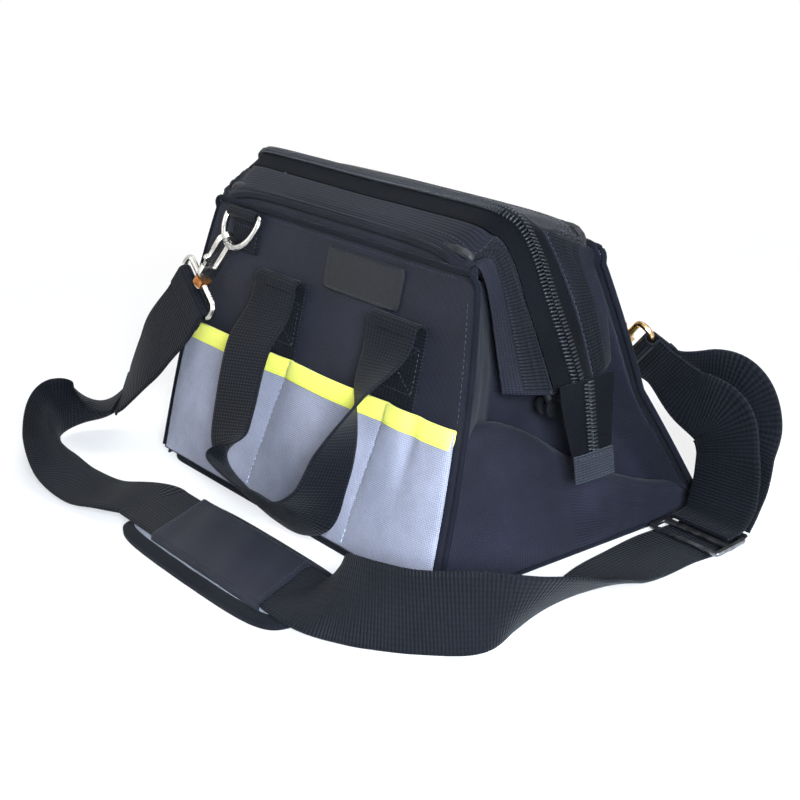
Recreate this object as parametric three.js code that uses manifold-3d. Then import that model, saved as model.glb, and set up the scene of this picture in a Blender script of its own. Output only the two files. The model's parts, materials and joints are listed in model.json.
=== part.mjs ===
// A zippered tool bag with a hinged steel mouth frame, outside pockets, webbing handles and a shoulder strap.
// Millimetres, +Z up, +X along the bag, front face towards -Y. The origin is the centre of the base, on the ground.
import * as THREE from 'three';
import { mergeVertices } from 'three/addons/utils/BufferGeometryUtils.js';
import Module from 'manifold-3d';

const wasm = await Module();
wasm.setup();

// Body of the bag
const bagLength = 330;
const bagWidth = 214;
const panelHeight = 203;
const frontBarIn = 60;
const rearBarIn = 69;
const rearSag = 15;
const cloth = 2;
const lining = 1.4;
const seamGap = 0.3;
const edgeTaper = 24;
const edgeTaperPower = 2.5;
const pipingRadius = 1.9;
const baseCorner = 24;
const frontGussetX = 136;
const rearGussetX = 131;
const innerFoldX = 126;
const footHeight = 62;
const cornerCut = 8;
const boardThickness = 3;
const boardInset = 9;

// Mouth frame and zip
const legLength = 105;
const barHalfLength = 140;
const rodRadius = 3;
const barCorner = 16;
const frontPivotX = 158;
const rearPivotX = 150;
const eyeThickness = 2.4;
const eyeRadius = 6;
const rivetRadius = 1.6;
const rivetClearance = 0.5;
const rivetHead = 1.6;
const ridgeHeight = 213;
const ridgeY = -19;
const ridgeHalfLength = 131;
const tapeWidth = 15;
const tapeThickness = 1;
const coilWidth = 4.4;
const coilHeight = 2.6;

// Outside pockets
const pocketHeight = 103;
const pocketDepth = 8;
const pocketWall = 1.3;
const pocketSideIn = 5;
const pocketBottom = 7;
const stitchXs = [-36, 80];
const stitchWall = 2.2;
const bindingHeight = 11;
const bindingThickness = 1;

// Webbing
const webWidth = 50;
const handleThickness = 1.8;
const foldRadius = 4.5;
const foldGap = 2.5;
const strapThickness = 2;
const handleXs = [-42, 90];
const handleFold = 150.5;
const handleLip = 147.5;
const handleFoot = 109;

// Rings and snap hooks
const ringWire = 2.2;
const ringBarHalf = 20;
const ringArc = 21;
const ringTilt = 13;
const tabWidth = 37;
const tabThickness = 1.4;
const ringClearance = 0.4;
const hookInner = 3.2;
const hookBar = 3.5;
const hookThickness = 4.6;
const hookSlot = 24;
const hookNose = 9;
const hookBodyLength = 11;
const stemRadius = 2.6;
const collarRadius = 5.4;
const collarLength = 5;
const loopWire = 2.1;
const loopHalf = 27;
const loopDrop = 12;
const strapTail = 13;

// Badge patch, shoulder pad and strap slider
const patchSize = [84, 27];
const patchCentre = [40, 170];
const padLength = 195;
const padWidth = 72;
const padThickness = 7;
const padCentre = [33, -165];
const sleeveLength = 132;
const sleeveThickness = 1.4;
const sleeveWall = 1.4;
const glideBar = 2;
const glideLength = 26;

// Zip slider and pull
const tailLength = 52;
const tailStand = 178;
const sliderLength = 13;

// Colours of the finishes
const blackCloth = new THREE.MeshStandardMaterial({ color: 0x1b1e26, roughness: 0.85 });
const greyCloth = new THREE.MeshStandardMaterial({ color: 0x737986, roughness: 0.8 });
const limeTape = new THREE.MeshStandardMaterial({ color: 0xd5dc2c, roughness: 0.7 });
const webbing = new THREE.MeshStandardMaterial({ color: 0x14151a, roughness: 0.75 });
const coilNylon = new THREE.MeshStandardMaterial({ color: 0x101114, roughness: 0.4 });
const nickel = new THREE.MeshStandardMaterial({ color: 0xc9c7c2, roughness: 0.22, metalness: 1 });
const steel = new THREE.MeshStandardMaterial({ color: 0x8f9298, roughness: 0.4, metalness: 1 });
const board = new THREE.MeshStandardMaterial({ color: 0x2b2c30, roughness: 0.7 });

const bag = new THREE.Group();
const radians = THREE.MathUtils.degToRad;
const vec = (x, y, z) => new THREE.Vector3(x, y, z);
const smooth = THREE.MathUtils.smoothstep;

// Meshes, solids and booleans
function part(name, geometry, material, parent = bag) {
  geometry.deleteAttribute('normal');
  geometry.deleteAttribute('uv');
  const mesh = new THREE.Mesh(mergeVertices(geometry, 1e-4), material);
  mesh.geometry.computeVertexNormals();
  mesh.name = name;
  parent.add(mesh);
  return mesh;
}

function solid(geometry) {
  geometry.deleteAttribute('normal');
  geometry.deleteAttribute('uv');
  const merged = mergeVertices(geometry, 1e-4);
  const vertProperties = new Float32Array(merged.attributes.position.array);
  const triVerts = new Uint32Array(merged.index.array);
  return new wasm.Manifold(new wasm.Mesh({ numProp: 3, vertProperties, triVerts }));
}

function geometryOf(manifold) {
  const mesh = manifold.getMesh();
  const geometry = new THREE.BufferGeometry();
  geometry.setAttribute('position', new THREE.BufferAttribute(new Float32Array(mesh.vertProperties), 3));
  geometry.setIndex(new THREE.BufferAttribute(new Uint32Array(mesh.triVerts), 1));
  return geometry;
}

// A profile in the plane of Y and Z, pushed along X
function alongX(outline, x0, x1, holes = []) {
  const shape = new THREE.Shape(outline.map(([y, z]) => new THREE.Vector2(y, z)));
  shape.holes = holes.map((hole) => new THREE.Path(hole.map(([y, z]) => new THREE.Vector2(y, z))));
  const geometry = new THREE.ExtrudeGeometry(shape, { depth: x1 - x0, bevelEnabled: false });
  const turn = new THREE.Matrix4().makeBasis(vec(0, 1, 0), vec(0, 0, 1), vec(1, 0, 0));
  return geometry.applyMatrix4(turn).translate(x0, 0, 0);
}

// A profile in the plane of X and Z, pushed along Y
function alongY(outline, y0, y1) {
  const shape = new THREE.Shape(outline.map(([x, z]) => new THREE.Vector2(x, z)));
  const geometry = new THREE.ExtrudeGeometry(shape, { depth: y1 - y0, bevelEnabled: false });
  const turn = new THREE.Matrix4().makeBasis(vec(1, 0, 0), vec(0, 0, 1), vec(0, -1, 0));
  return geometry.applyMatrix4(turn).translate(0, y1, 0);
}

function roundedRectangle(halfX, halfY, radius, steps = 6) {
  const points = [];
  [[1, -1, -90], [1, 1, 0], [-1, 1, 90], [-1, -1, 180]].forEach(([sx, sy, start]) => {
    for (let i = 0; i <= steps; i += 1) {
      const angle = radians(start + (90 * i) / steps);
      points.push([sx * (halfX - radius) + radius * Math.cos(angle),
        sy * (halfY - radius) + radius * Math.sin(angle)]);
    }
  });
  return points;
}

function arc(centre, radius, from, to, steps) {
  return Array.from({ length: steps + 1 }, (_, i) => {
    const angle = radians(from + ((to - from) * i) / steps);
    return [centre[0] + radius * Math.cos(angle), centre[1] + radius * Math.sin(angle)];
  });
}

function upright(outline, z0, z1) {
  const shape = new THREE.Shape(outline.map(([x, y]) => new THREE.Vector2(x, y)));
  return new THREE.ExtrudeGeometry(shape, { depth: z1 - z0, bevelEnabled: false }).translate(0, 0, z0);
}

// A loft through rings of equal count, closed by a flat cap at each end. A flat band's two faces
// are split along the same diagonal, so that they don't cross where it twists
function loft(rings, flat = false) {
  const count = rings[0].length;
  const position = rings.flat().flatMap((p) => [p.x, p.y, p.z]);
  const index = [];
  for (let i = 0; i + 1 < rings.length; i += 1) {
    for (let j = 0; j < count; j += 1) {
      const a = i * count + j;
      const b = i * count + ((j + 1) % count);
      if (flat && j === 2) index.push(a, b, a + count, b, b + count, a + count);
      else index.push(a, b, b + count, a, b + count, a + count);
    }
  }
  const last = (rings.length - 1) * count;
  for (let j = 1; j + 1 < count; j += 1) {
    index.push(0, j + 1, j, last, last + j, last + j + 1);
  }
  const geometry = new THREE.BufferGeometry();
  geometry.setAttribute('position', new THREE.Float32BufferAttribute(position, 3));
  geometry.setIndex(index);
  return geometry;
}

// A sheet of even thickness over a grid of points: the grid is its middle surface
function sheet(grid, thickness) {
  const rows = grid.length;
  const columns = grid[0].length;
  const at = (i, j) => grid[Math.min(Math.max(i, 0), rows - 1)][Math.min(Math.max(j, 0), columns - 1)];
  const sides = [1, -1].map((side) => grid.map((row, i) => row.map((p, j) => {
    const along = at(i + 1, j).clone().sub(at(i - 1, j));
    const across = at(i, j + 1).clone().sub(at(i, j - 1));
    return along.cross(across).setLength((side * thickness) / 2).add(p);
  })));
  const position = sides.flat(2).flatMap((p) => [p.x, p.y, p.z]);
  const id = (side, i, j) => side * rows * columns + i * columns + j;
  const index = [];
  const quad = (a, b, c, d) => index.push(a, b, c, a, c, d);
  for (let i = 0; i + 1 < rows; i += 1) {
    for (let j = 0; j + 1 < columns; j += 1) {
      quad(id(0, i, j), id(0, i + 1, j), id(0, i + 1, j + 1), id(0, i, j + 1));
      quad(id(1, i, j), id(1, i, j + 1), id(1, i + 1, j + 1), id(1, i + 1, j));
    }
    quad(id(0, i, 0), id(1, i, 0), id(1, i + 1, 0), id(0, i + 1, 0));
    quad(id(0, i + 1, columns - 1), id(1, i + 1, columns - 1), id(1, i, columns - 1), id(0, i, columns - 1));
  }
  for (let j = 0; j + 1 < columns; j += 1) {
    quad(id(0, 0, j + 1), id(1, 0, j + 1), id(1, 0, j), id(0, 0, j));
    quad(id(0, rows - 1, j), id(1, rows - 1, j), id(1, rows - 1, j + 1), id(0, rows - 1, j + 1));
  }
  const geometry = new THREE.BufferGeometry();
  geometry.setAttribute('position', new THREE.Float32BufferAttribute(position, 3));
  geometry.setIndex(index);
  return geometry;
}

// Flat webbing along a smooth line, its width laid along a direction given at each point
function ribbon(stations, width, thickness, steps) {
  const line = new THREE.CatmullRomCurve3(stations.map(([p]) => vec(...p)), false, 'centripetal');
  const across = new THREE.CatmullRomCurve3(stations.map(([, w]) => vec(...w).normalize()), false, 'catmullrom');
  const rings = Array.from({ length: steps + 1 }, (_, i) => {
    const t = i / steps;
    const tangent = line.getTangent(t);
    const side = across.getPoint(t).projectOnPlane(tangent).setLength(width / 2);
    const face = tangent.clone().cross(side).setLength(thickness / 2);
    const centre = line.getPoint(t);
    return [[1, 1], [-1, 1], [-1, -1], [1, -1]].map(([a, b]) => centre.clone()
      .addScaledVector(side, a).addScaledVector(face, b));
  });
  return loft(rings, true);
}

// Flat webbing through the points themselves
function flatBand(stations, width, thickness) {
  const rings = stations.map(([p, w], i) => {
    const after = vec(...stations[Math.min(i + 1, stations.length - 1)][0]);
    const before = vec(...stations[Math.max(i - 1, 0)][0]);
    const tangent = after.sub(before).normalize();
    const side = vec(...w).projectOnPlane(tangent).setLength(width / 2);
    const face = tangent.clone().cross(side).setLength(thickness / 2);
    return [[1, 1], [-1, 1], [-1, -1], [1, -1]].map(([a, b]) => vec(...p)
      .addScaledVector(side, a).addScaledVector(face, b));
  });
  return loft(rings, true);
}

// Round wire or rod: a ring at each point, square to the line there
function wire(points, radius, count = 8) {
  let side = null;
  const rings = points.map((p, i) => {
    const after = points[Math.min(i + 1, points.length - 1)];
    const before = points[Math.max(i - 1, 0)];
    const tangent = after.clone().sub(before).normalize();
    const start = Math.abs(tangent.x) > 0.9 ? vec(0, 1, 0) : vec(1, 0, 0);
    side = (side || start).clone().projectOnPlane(tangent).normalize();
    const up = tangent.clone().cross(side);
    return arc([0, 0], radius, 0, 360 - 360 / count, count - 1)
      .map(([a, h]) => p.clone().addScaledVector(side, a).addScaledVector(up, h));
  });
  return loft(rings);
}

function closedWire(points, radius, steps, sides = 8) {
  const path = new THREE.CatmullRomCurve3(points, true, 'centripetal');
  return new THREE.TubeGeometry(path, steps, radius, sides, true);
}

// Closed and open mouth, worked out in the plane of Y and Z
const lean = (barIn) => Math.asin(barIn / panelHeight);
const bars = {
  front: vec(0, -bagWidth / 2 + frontBarIn, panelHeight * Math.cos(lean(frontBarIn))),
  rear: vec(0, bagWidth / 2 - rearBarIn, panelHeight * Math.cos(lean(rearBarIn))),
};
const chord = bars.rear.clone().sub(bars.front);
const pivotDrop = Math.sqrt(legLength ** 2 - (chord.length() / 2) ** 2);
const pivot = bars.front.clone().addScaledVector(chord, 0.5)
  .addScaledVector(vec(0, chord.z, -chord.y).normalize(), pivotDrop);
const openLean = Math.asin((bagWidth / 2 - legLength) / panelHeight);
const legAngle = {
  front: Math.atan2(pivot.y - bars.front.y, bars.front.z - pivot.z),
  rear: Math.atan2(bars.rear.y - pivot.y, bars.rear.z - pivot.z),
};
const sides = {
  front: { lean: lean(frontBarIn), sag: 0, ringX: -104, ringS: 186, grip: 28, hookTilt: 33, hookSwing: 2,
    endSwing: 0, tuck: 36, seam: 2 },
  rear: { lean: lean(rearBarIn), sag: rearSag, ringX: -98, ringS: 170, grip: 30, hookTilt: 40, hookSwing: 2,
    endSwing: 12, tuck: 16, seam: 5 },
};

// Half length of a panel at a height along it, and how far it sags inwards there
const edgeX = (s) => bagLength / 2 - edgeTaper * (s / panelHeight) ** edgeTaperPower;
const sagAt = (side, s) => (s < pocketHeight
  ? (side.sag * s) / pocketHeight
  : (side.sag * (panelHeight - s)) / (panelHeight - pocketHeight));

function sagged(geometry, side) {
  const position = geometry.attributes.position;
  for (let i = 0; i < position.count; i += 1) {
    position.setY(i, position.getY(i) + sagAt(side, position.getZ(i)));
  }
  return geometry;
}

// Base: skin, stiff board and edge piping
const pipingLine = bagWidth / 2 - pipingRadius;
const skinHalf = [bagLength / 2 - 2 * pipingRadius - seamGap, bagWidth / 2 - 2 * pipingRadius - seamGap];
function base() {
  part('base_skin', upright(roundedRectangle(...skinHalf, baseCorner), 0, cloth), blackCloth);
  const boardHalf = skinHalf.map((half) => half - boardInset);
  const boardZ = cloth + seamGap;
  part('base_board', upright(roundedRectangle(...boardHalf, baseCorner - boardInset), boardZ,
    boardZ + boardThickness), board);
  const lineX = bagLength / 2 - pipingRadius;
  const ring = roundedRectangle(lineX, pipingLine, baseCorner - pipingRadius, 5)
    .map(([x, y]) => vec(x, y, pipingRadius));
  part('base_piping', closedWire(ring, pipingRadius, 72, 6), blackCloth);
}

// One long side, built with its panel upright: local -Y is outwards and local Z runs up the panel
const panelFoot = 5;
const panelTop = panelHeight - rodRadius - lining - seamGap;

function panel(name, side, group) {
  const heights = [panelFoot, 30, 60, pocketHeight, 130, 160, 180, panelTop];
  const across = [-1, -0.85, -0.4, 0, 0.4, 0.85, 1];
  const grid = heights.map((s) => across.map((t) => {
    const top = Math.abs(t) === 1 ? Math.min(s, panelTop - cornerCut) : s;
    return vec(t * edgeX(top), sagAt(side, top), top);
  }));
  part(`${name}_panel`, sheet(grid, cloth), blackCloth, group);
  const pipedTop = panelTop - cornerCut - 6;
  const out = pipingRadius + seamGap;
  const edge = [panelFoot + pipingRadius, 30, 60, 90, pocketHeight, 116, 130, 145, 160, 173, pipedTop]
    .map((s) => vec(edgeX(s) + out, sagAt(side, s), s));
  const front = -cloth / 2 - out;
  const turn = [[2.9, 0.5, 2.5], [2.2, 0.85, 4.8], [0, 1, 6.8], [-4, 1, 8]]
    .map(([x, y, rise]) => vec(edgeX(pipedTop) + x, sagAt(side, pipedTop + rise) + front * y, pipedTop + rise));
  const along = [0.85, 0].map((t) => vec(t * edgeX(pipedTop), sagAt(side, pipedTop + 8) + front, pipedTop + 8));
  const half = [...edge, ...turn, ...along];
  const line = [...half, ...half.slice(0, -1).reverse().map((p) => vec(-p.x, p.y, p.z))];
  part(`${name}_panel_piping`, wire(line, pipingRadius, 6), blackCloth, group);
}

function pocket(name, side, group) {
  const back = -cloth / 2 - seamGap;
  const front = back - pocketDepth;
  const outline = (inset, s0, s1) => [s0, (s0 + s1) / 2, s1].map((s) => [edgeX(s) - inset, s])
    .concat([s1, (s0 + s1) / 2, s0].map((s) => [-edgeX(s) + inset, s]));
  let body = solid(alongY(outline(pocketSideIn, pocketBottom, pocketHeight), front, back));
  const inner = pocketSideIn + pocketWall;
  const ribTop = pocketHeight - bindingHeight - seamGap;
  const room = solid(alongY(outline(inner, pocketBottom + pocketWall, pocketHeight + 1), front + pocketWall, back + 1));
  body = body.subtract(room);
  stitchXs.forEach((x) => {
    const rib = [[x - stitchWall / 2, pocketBottom], [x + stitchWall / 2, pocketBottom],
      [x + stitchWall / 2, ribTop], [x - stitchWall / 2, ribTop]];
    body = body.add(solid(alongY(rib, front + pocketWall / 2, back)));
  });
  const slot = [[-bagLength, ribTop], [bagLength, ribTop], [bagLength, panelHeight], [-bagLength, panelHeight]];
  body = body.subtract(solid(alongY(slot, front + pocketWall, back + 1)));
  part(`${name}_pocket`, sagged(geometryOf(body), side), greyCloth, group);
  const half = edgeX(pocketHeight) - pocketSideIn;
  const outer = front - seamGap - bindingThickness;
  const innerFace = front + pocketWall + seamGap + bindingThickness;
  const low = pocketHeight - bindingHeight;
  const top = pocketHeight + seamGap + bindingThickness;
  const fold = [[outer, low], [front - seamGap, low], [front - seamGap, pocketHeight + seamGap],
    [front + pocketWall + seamGap, pocketHeight + seamGap], [front + pocketWall + seamGap, low + 1],
    [innerFace, low + 1], [innerFace, top], [outer, top]];
  part(`${name}_pocket_binding`, sagged(alongX(fold, -half, half), side), limeTape, group);
}

function handle(name, side, group) {
  const middle = cloth / 2 + seamGap + handleThickness / 2;
  const crest = sagAt(side, handleFold);
  const foot = sagAt(side, handleFoot);
  const over = arc([crest - middle - foldRadius, handleFold], foldRadius, 0, 180, 8);
  const line = [[foot - middle, handleFoot], ...over, [crest - middle - 2 * foldRadius, handleLip]];
  handleXs.forEach((x, i) => {
    const strip = line.map(([y, z]) => [[x, y, z], [1, 0, 0]]);
    part(`${name}_handle_foot_${i === 0 ? 'left' : 'right'}`, flatBand(strip, webWidth, handleThickness),
      webbing, group);
  });
  const hang = crest - middle - 2 * foldRadius;
  const start = handleLip - foldGap;
  const [left, right] = handleXs;
  const loop = [
    [[left, hang, start], [1, 0, 0]],
    [[left + 0.6, hang - 2.3, start - 13], [1, 0, 0]],
    [[left + 4, -26, 108], [1, 0, 0]],
    [[left + 11, -33, 68], [1, -0.05, 0]],
    [[left + 16, -36.5, 46], [0.98, -0.2, 0]],
    [[left + 24, -39.5, 32], [0.5, -0.8, 0.35]],
    [[left + 42, -41, 25], [0, -0.84, 0.54]],
    [[left + 68, -42, 22], [0, -0.84, 0.54]],
    [[right - 36, -42, 23], [0, -0.84, 0.54]],
    [[right - 15, -41, 29], [0.1, -0.88, 0.4]],
    [[right - 4, -38, 45], [0.3, -0.93, 0.15]],
    [[right - 1, -33, 72], [0.45, -0.9, 0]],
    [[right + 1, -26, 106], [0.83, -0.56, 0]],
    [[right + 0.6, hang - 2.6, start - 13], [0.99, -0.14, 0]],
    [[right, hang, start], [1, 0, 0]],
  ];
  part(`${name}_handle`, ribbon(loop, webWidth, handleThickness, 48), webbing, group);
  group.userData.handleHinge = vec(0, hang, start);
}

function patch(group) {
  const [width, height] = patchSize;
  const outline = roundedRectangle(width / 2, height / 2, 3, 2)
    .map(([x, z]) => [x + patchCentre[0], z + patchCentre[1]]);
  const back = -cloth / 2 - seamGap;
  part('front_patch', alongY(outline, back - 1, back), blackCloth, group);
}

// D-ring on its sewn webbing tab, with a swivel snap hook
function ringAndHook(name, side, group) {
  const loopInner = ringWire + ringClearance;
  const loopOuter = loopInner + tabThickness;
  const tabBack = -cloth / 2 - seamGap;
  const place = new THREE.Group();
  place.position.set(side.ringX, tabBack - loopOuter + sagAt(side, side.ringS), side.ringS);
  group.add(place);
  const round = (radius) => arc([0, 0], radius, 0, 345, 23);
  const tabFlat = [[loopOuter - 2 * tabThickness, -13], [loopOuter, -13], [loopOuter, 0],
    [loopOuter - 2 * tabThickness, 0]];
  const tab = solid(alongX(round(loopOuter), -tabWidth / 2, tabWidth / 2))
    .add(solid(alongX(tabFlat, -tabWidth / 2, tabWidth / 2)))
    .subtract(solid(alongX(round(loopInner), -tabWidth, tabWidth)));
  part(`${name}_ring_tab`, geometryOf(tab), webbing, place);

  const ringGroup = new THREE.Group();
  ringGroup.rotation.x = -radians(ringTilt);
  place.add(ringGroup);
  const arcPoints = arc([0, -3], ringArc, 0, -180, 12).map(([x, z]) => vec(x, 0, z));
  const barPoints = [-1, -0.5, 0, 0.5, 1].map((t) => vec(t * (ringBarHalf - 1), 0, 0));
  part(`${name}_ring`, closedWire([...arcPoints, ...barPoints], ringWire, 44, 8), nickel, ringGroup);

  const tilt = radians(side.hookTilt);
  const grip = radians(side.grip);
  const contact = vec(-ringArc * Math.sin(grip), 0, -3 - ringArc * Math.cos(grip));
  const hookGroup = new THREE.Group();
  hookGroup.position.copy(contact.applyAxisAngle(vec(1, 0, 0), -radians(ringTilt)));
  hookGroup.rotation.order = 'YXZ';
  hookGroup.rotation.y = tilt;
  hookGroup.rotation.x = -radians(side.hookSwing);
  place.add(hookGroup);
  snapHook(name, side, hookGroup);
}

// The hook stands in its own plane of Y and Z: it hangs down from the ring's wire at the origin
function snapHook(name, side, group) {
  const outer = hookInner + hookBar;
  const half = hookThickness / 2;
  const bottom = -hookSlot - hookBodyLength;
  const frame = [...arc([0, 0], outer, 180, 0, 10), [outer, bottom + 3], [outer - 3, bottom], [-outer + 3, bottom],
    [-outer, bottom + 3], [-outer, -hookSlot], [hookInner, -hookSlot], ...arc([0, 0], hookInner, 0, 180, 8),
    [-hookInner, -hookNose], [-outer, -hookNose]];
  const stemBottom = bottom - collarLength - 2 * seamGap;
  const stem = new THREE.CylinderGeometry(stemRadius, stemRadius, -stemBottom + bottom + 1, 12)
    .rotateX(Math.PI / 2).translate(0, 0, (stemBottom + bottom + 1) / 2);
  const head = new THREE.CylinderGeometry(stemRadius + 1.6, stemRadius + 1.6, 2, 12)
    .rotateX(Math.PI / 2).translate(0, 0, stemBottom - 1);
  const body = solid(alongX(frame.reverse(), -half, half)).add(solid(stem)).add(solid(head));
  part(`${name}_hook`, geometryOf(body), nickel, group);

  const gateMiddle = -(hookInner + hookBar / 2);
  const gateRound = hookBar / 2 - 0.1;
  const pin = -hookSlot + gateRound + seamGap;
  const gate = [...arc([gateMiddle, pin], gateRound, 180, 360, 6),
    [gateMiddle + gateRound, -hookNose - seamGap], [gateMiddle - gateRound, -hookNose - seamGap],
    [gateMiddle - gateRound, -14], [gateMiddle - gateRound - 2.4, -15.5], [gateMiddle - gateRound - 2.4, -18],
    [gateMiddle - gateRound, -19.5]];
  part(`${name}_hook_gate`, alongX(gate, -half + 0.5, half - 0.5), nickel, group);

  const collarTop = bottom - seamGap;
  const collarMiddle = collarTop - collarLength / 2;
  const collar = solid(new THREE.CylinderGeometry(collarRadius, collarRadius, collarLength, 16)
    .rotateX(Math.PI / 2).translate(0, 0, collarMiddle));
  const bore = solid(new THREE.CylinderGeometry(stemRadius + seamGap, stemRadius + seamGap, collarLength + 2, 12)
    .rotateX(Math.PI / 2).translate(0, 0, collarMiddle));
  const low = collarMiddle - loopDrop;
  const corner = 5;
  const endX = loopHalf - corner;
  const bend = [[collarRadius - 1, collarMiddle], ...arc([endX, collarMiddle - corner], corner, 90, 0, 4),
    ...arc([endX, low + corner], corner, 0, -90, 4)];
  const line = bend.concat(bend.slice().reverse().map(([x, z]) => [-x, z]));
  const eye = solid(wire(line.map(([x, z]) => vec(x, 0, z)), loopWire, 8));
  part(`${name}_swivel`, geometryOf(collar.add(eye).subtract(bore)), nickel, group);

  const endGroup = new THREE.Group();
  endGroup.position.z = low;
  endGroup.rotation.x = -radians(side.endSwing);
  group.add(endGroup);
  const wrap = loopWire + 3 * seamGap;
  const thick = wrap + strapThickness;
  const halfWeb = webWidth / 2 - 1;
  const round = (radius) => arc([0, 0], radius, 0, 345, 23);
  const flat = [[-thick, -strapTail], [-thick + 2 * strapThickness, -strapTail],
    [-thick + 2 * strapThickness, 0], [-thick, 0]];
  const end = solid(alongX(round(thick), -halfWeb, halfWeb)).add(solid(alongX(flat, -halfWeb, halfWeb)))
    .subtract(solid(alongX(round(wrap), -webWidth, webWidth)));
  part(`${name}_strap_end`, geometryOf(end), webbing, endGroup);
  endGroup.userData.strapEnd = vec(0, -thick + strapThickness, -strapTail);
}

// Gusset half at one end: it leaves the panel's edge, tucks in under the frame's leg and lies flat there
const legFromPanel = (side, name) => legAngle[name] + side.lean;
function gussetHalf(name, hand, side, group) {
  const sign = hand === 'left' ? -1 : 1;
  const plane = name === 'front' ? frontGussetX : rearGussetX;
  const leg = Math.tan(legFromPanel(side, name));
  const top = panelTop - cornerCut - 2;
  const gap = (s) => (bagWidth - ((frontBarIn + rearBarIn) * s) / panelHeight - rearSag) * 0.95;
  const start = cloth / 2 + lining / 2 + side.seam * seamGap;
  const grid = [0, 0.12, 0.3, 0.5, 0.7, 0.88, 1].map((v) => [0, 0.08, 0.2, 0.36, 0.6, 1].map((u) => {
    const base = (y) => (panelFoot + y * Math.sin(side.lean)) / Math.cos(side.lean) + 1.5;
    const rough = THREE.MathUtils.lerp(panelFoot, top, v);
    const reach = Math.min(108, gap(rough) - 36);
    const y = start + (reach - start) * u;
    const s = THREE.MathUtils.lerp(base(y), top - 16 * smooth(u, 0.2, 1), v);
    const foldEnd = THREE.MathUtils.clamp(leg * (panelHeight - s) - 5, 6, side.tuck);
    const level = edgeX(s) - lining / 2 - seamGap - 2;
    const x = THREE.MathUtils.lerp(level, Math.min(level, plane), smooth(y, start, foldEnd));
    return vec(sign * x, y + sagAt(side, s) * (1 - smooth(y, 0, 60)), s);
  }));
  if (sign < 0) grid.forEach((row) => row.reverse());
  part(`${name}_gusset_${hand}`, sheet(grid, lining), blackCloth, group);
}

// Parts of the ends that stay with the base: the outer foot and the inner fold of the gusset
function endPieces(hand) {
  const sign = hand === 'left' ? -1 : 1;
  const mirror = (grid) => {
    if (sign < 0) grid.forEach((row) => row.reverse());
    return grid;
  };
  const footGrid = mirror([0, 0.5, 1].map((v) => [0, 0.25, 0.5, 0.75, 1].map((u) => {
    const y = THREE.MathUtils.lerp(-84 + 18 * v, 84 - 30 * v, u);
    return vec(sign * (bagLength / 2 - 2 - 13 * v - 2 * Math.sin(Math.PI * u)), y, 2 * pipingRadius
      + seamGap + (footHeight - 2 * pipingRadius) * v);
  })));
  part(`gusset_foot_${hand}`, sheet(footGrid, lining), blackCloth);
  const low = cloth + boardThickness + 3 * seamGap;
  const top = bars.rear.z - 8;
  const foldGrid = mirror([0, 1].map((v) => [0, 0.5, 1].map((u) => vec(sign * innerFoldX,
    THREE.MathUtils.lerp(-70 + 32 * v, 70 - 44 * v, u), THREE.MathUtils.lerp(low, top, v)))));
  part(`gusset_fold_${hand}`, sheet(foldGrid, lining), blackCloth);
}

// Frame: a U of steel rod whose bar lies along the mouth and whose legs meet the other U at the end rivets
function frameRod(name) {
  const bar = bars[name];
  const pivotX = name === 'front' ? frontPivotX : rearPivotX;
  const down = pivot.clone().sub(bar).setX(0).normalize();
  const at = (x, drop) => vec(x, bar.y + down.y * drop, bar.z + down.z * drop);
  const legX = (drop) => barHalfLength + ((pivotX - barHalfLength) * drop) / legLength;
  const corner = arc([barHalfLength - barCorner, barCorner], barCorner, -90, 0, 5)
    .map(([x, drop]) => at(x + ((legX(drop) - barHalfLength) * drop) / barCorner, drop));
  const lowDrop = legLength - eyeRadius + 1;
  const half = [...corner, at(legX(legLength / 2), legLength / 2), at(pivotX, lowDrop)];
  const line = [...half.slice().reverse().map((p) => vec(-p.x, p.y, p.z)), at(0, 0), ...half];
  let body = solid(wire(line, rodRadius, 10));
  const eye = arc([pivot.y, pivot.z], eyeRadius, 0, 345, 23);
  const hole = arc([pivot.y, pivot.z], rivetRadius + rivetClearance, 0, 330, 11);
  [-1, 1].forEach((sign) => {
    const x = sign * pivotX;
    body = body.add(solid(alongX(eye, x - rodRadius, x + rodRadius)))
      .subtract(solid(alongX(hole, x - 2 * rodRadius, x + 2 * rodRadius)));
    [[-1, rodRadius + 1], [1, rodRadius + 1]].forEach(([way]) => {
      const face = [x + (way * eyeThickness) / 2, x + way * 3 * rodRadius].sort((a, b) => a - b);
      const trim = arc([pivot.y, pivot.z], eyeRadius + 1.5, 0, 345, 23);
      body = body.subtract(solid(alongX(trim, face[0], face[1])));
    });
  });
  part(`${name}_frame`, geometryOf(body), steel);
}

function rivet(hand) {
  const sign = hand === 'left' ? -1 : 1;
  const inner = rearPivotX - eyeThickness / 2 - seamGap - rivetHead;
  const outer = frontPivotX + eyeThickness / 2 + seamGap + rivetHead;
  const disc = (radius, x0, x1) => {
    const ends = [sign * x0, sign * x1].sort((a, b) => a - b);
    return solid(alongX(arc([pivot.y, pivot.z], radius, 0, 345, 23), ends[0], ends[1]));
  };
  const body = disc(rivetRadius, inner, outer).add(disc(4, inner, inner + rivetHead))
    .add(disc(4, outer - rivetHead, outer));
  part(`frame_rivet_${hand}`, geometryOf(body), steel);
}

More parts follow.
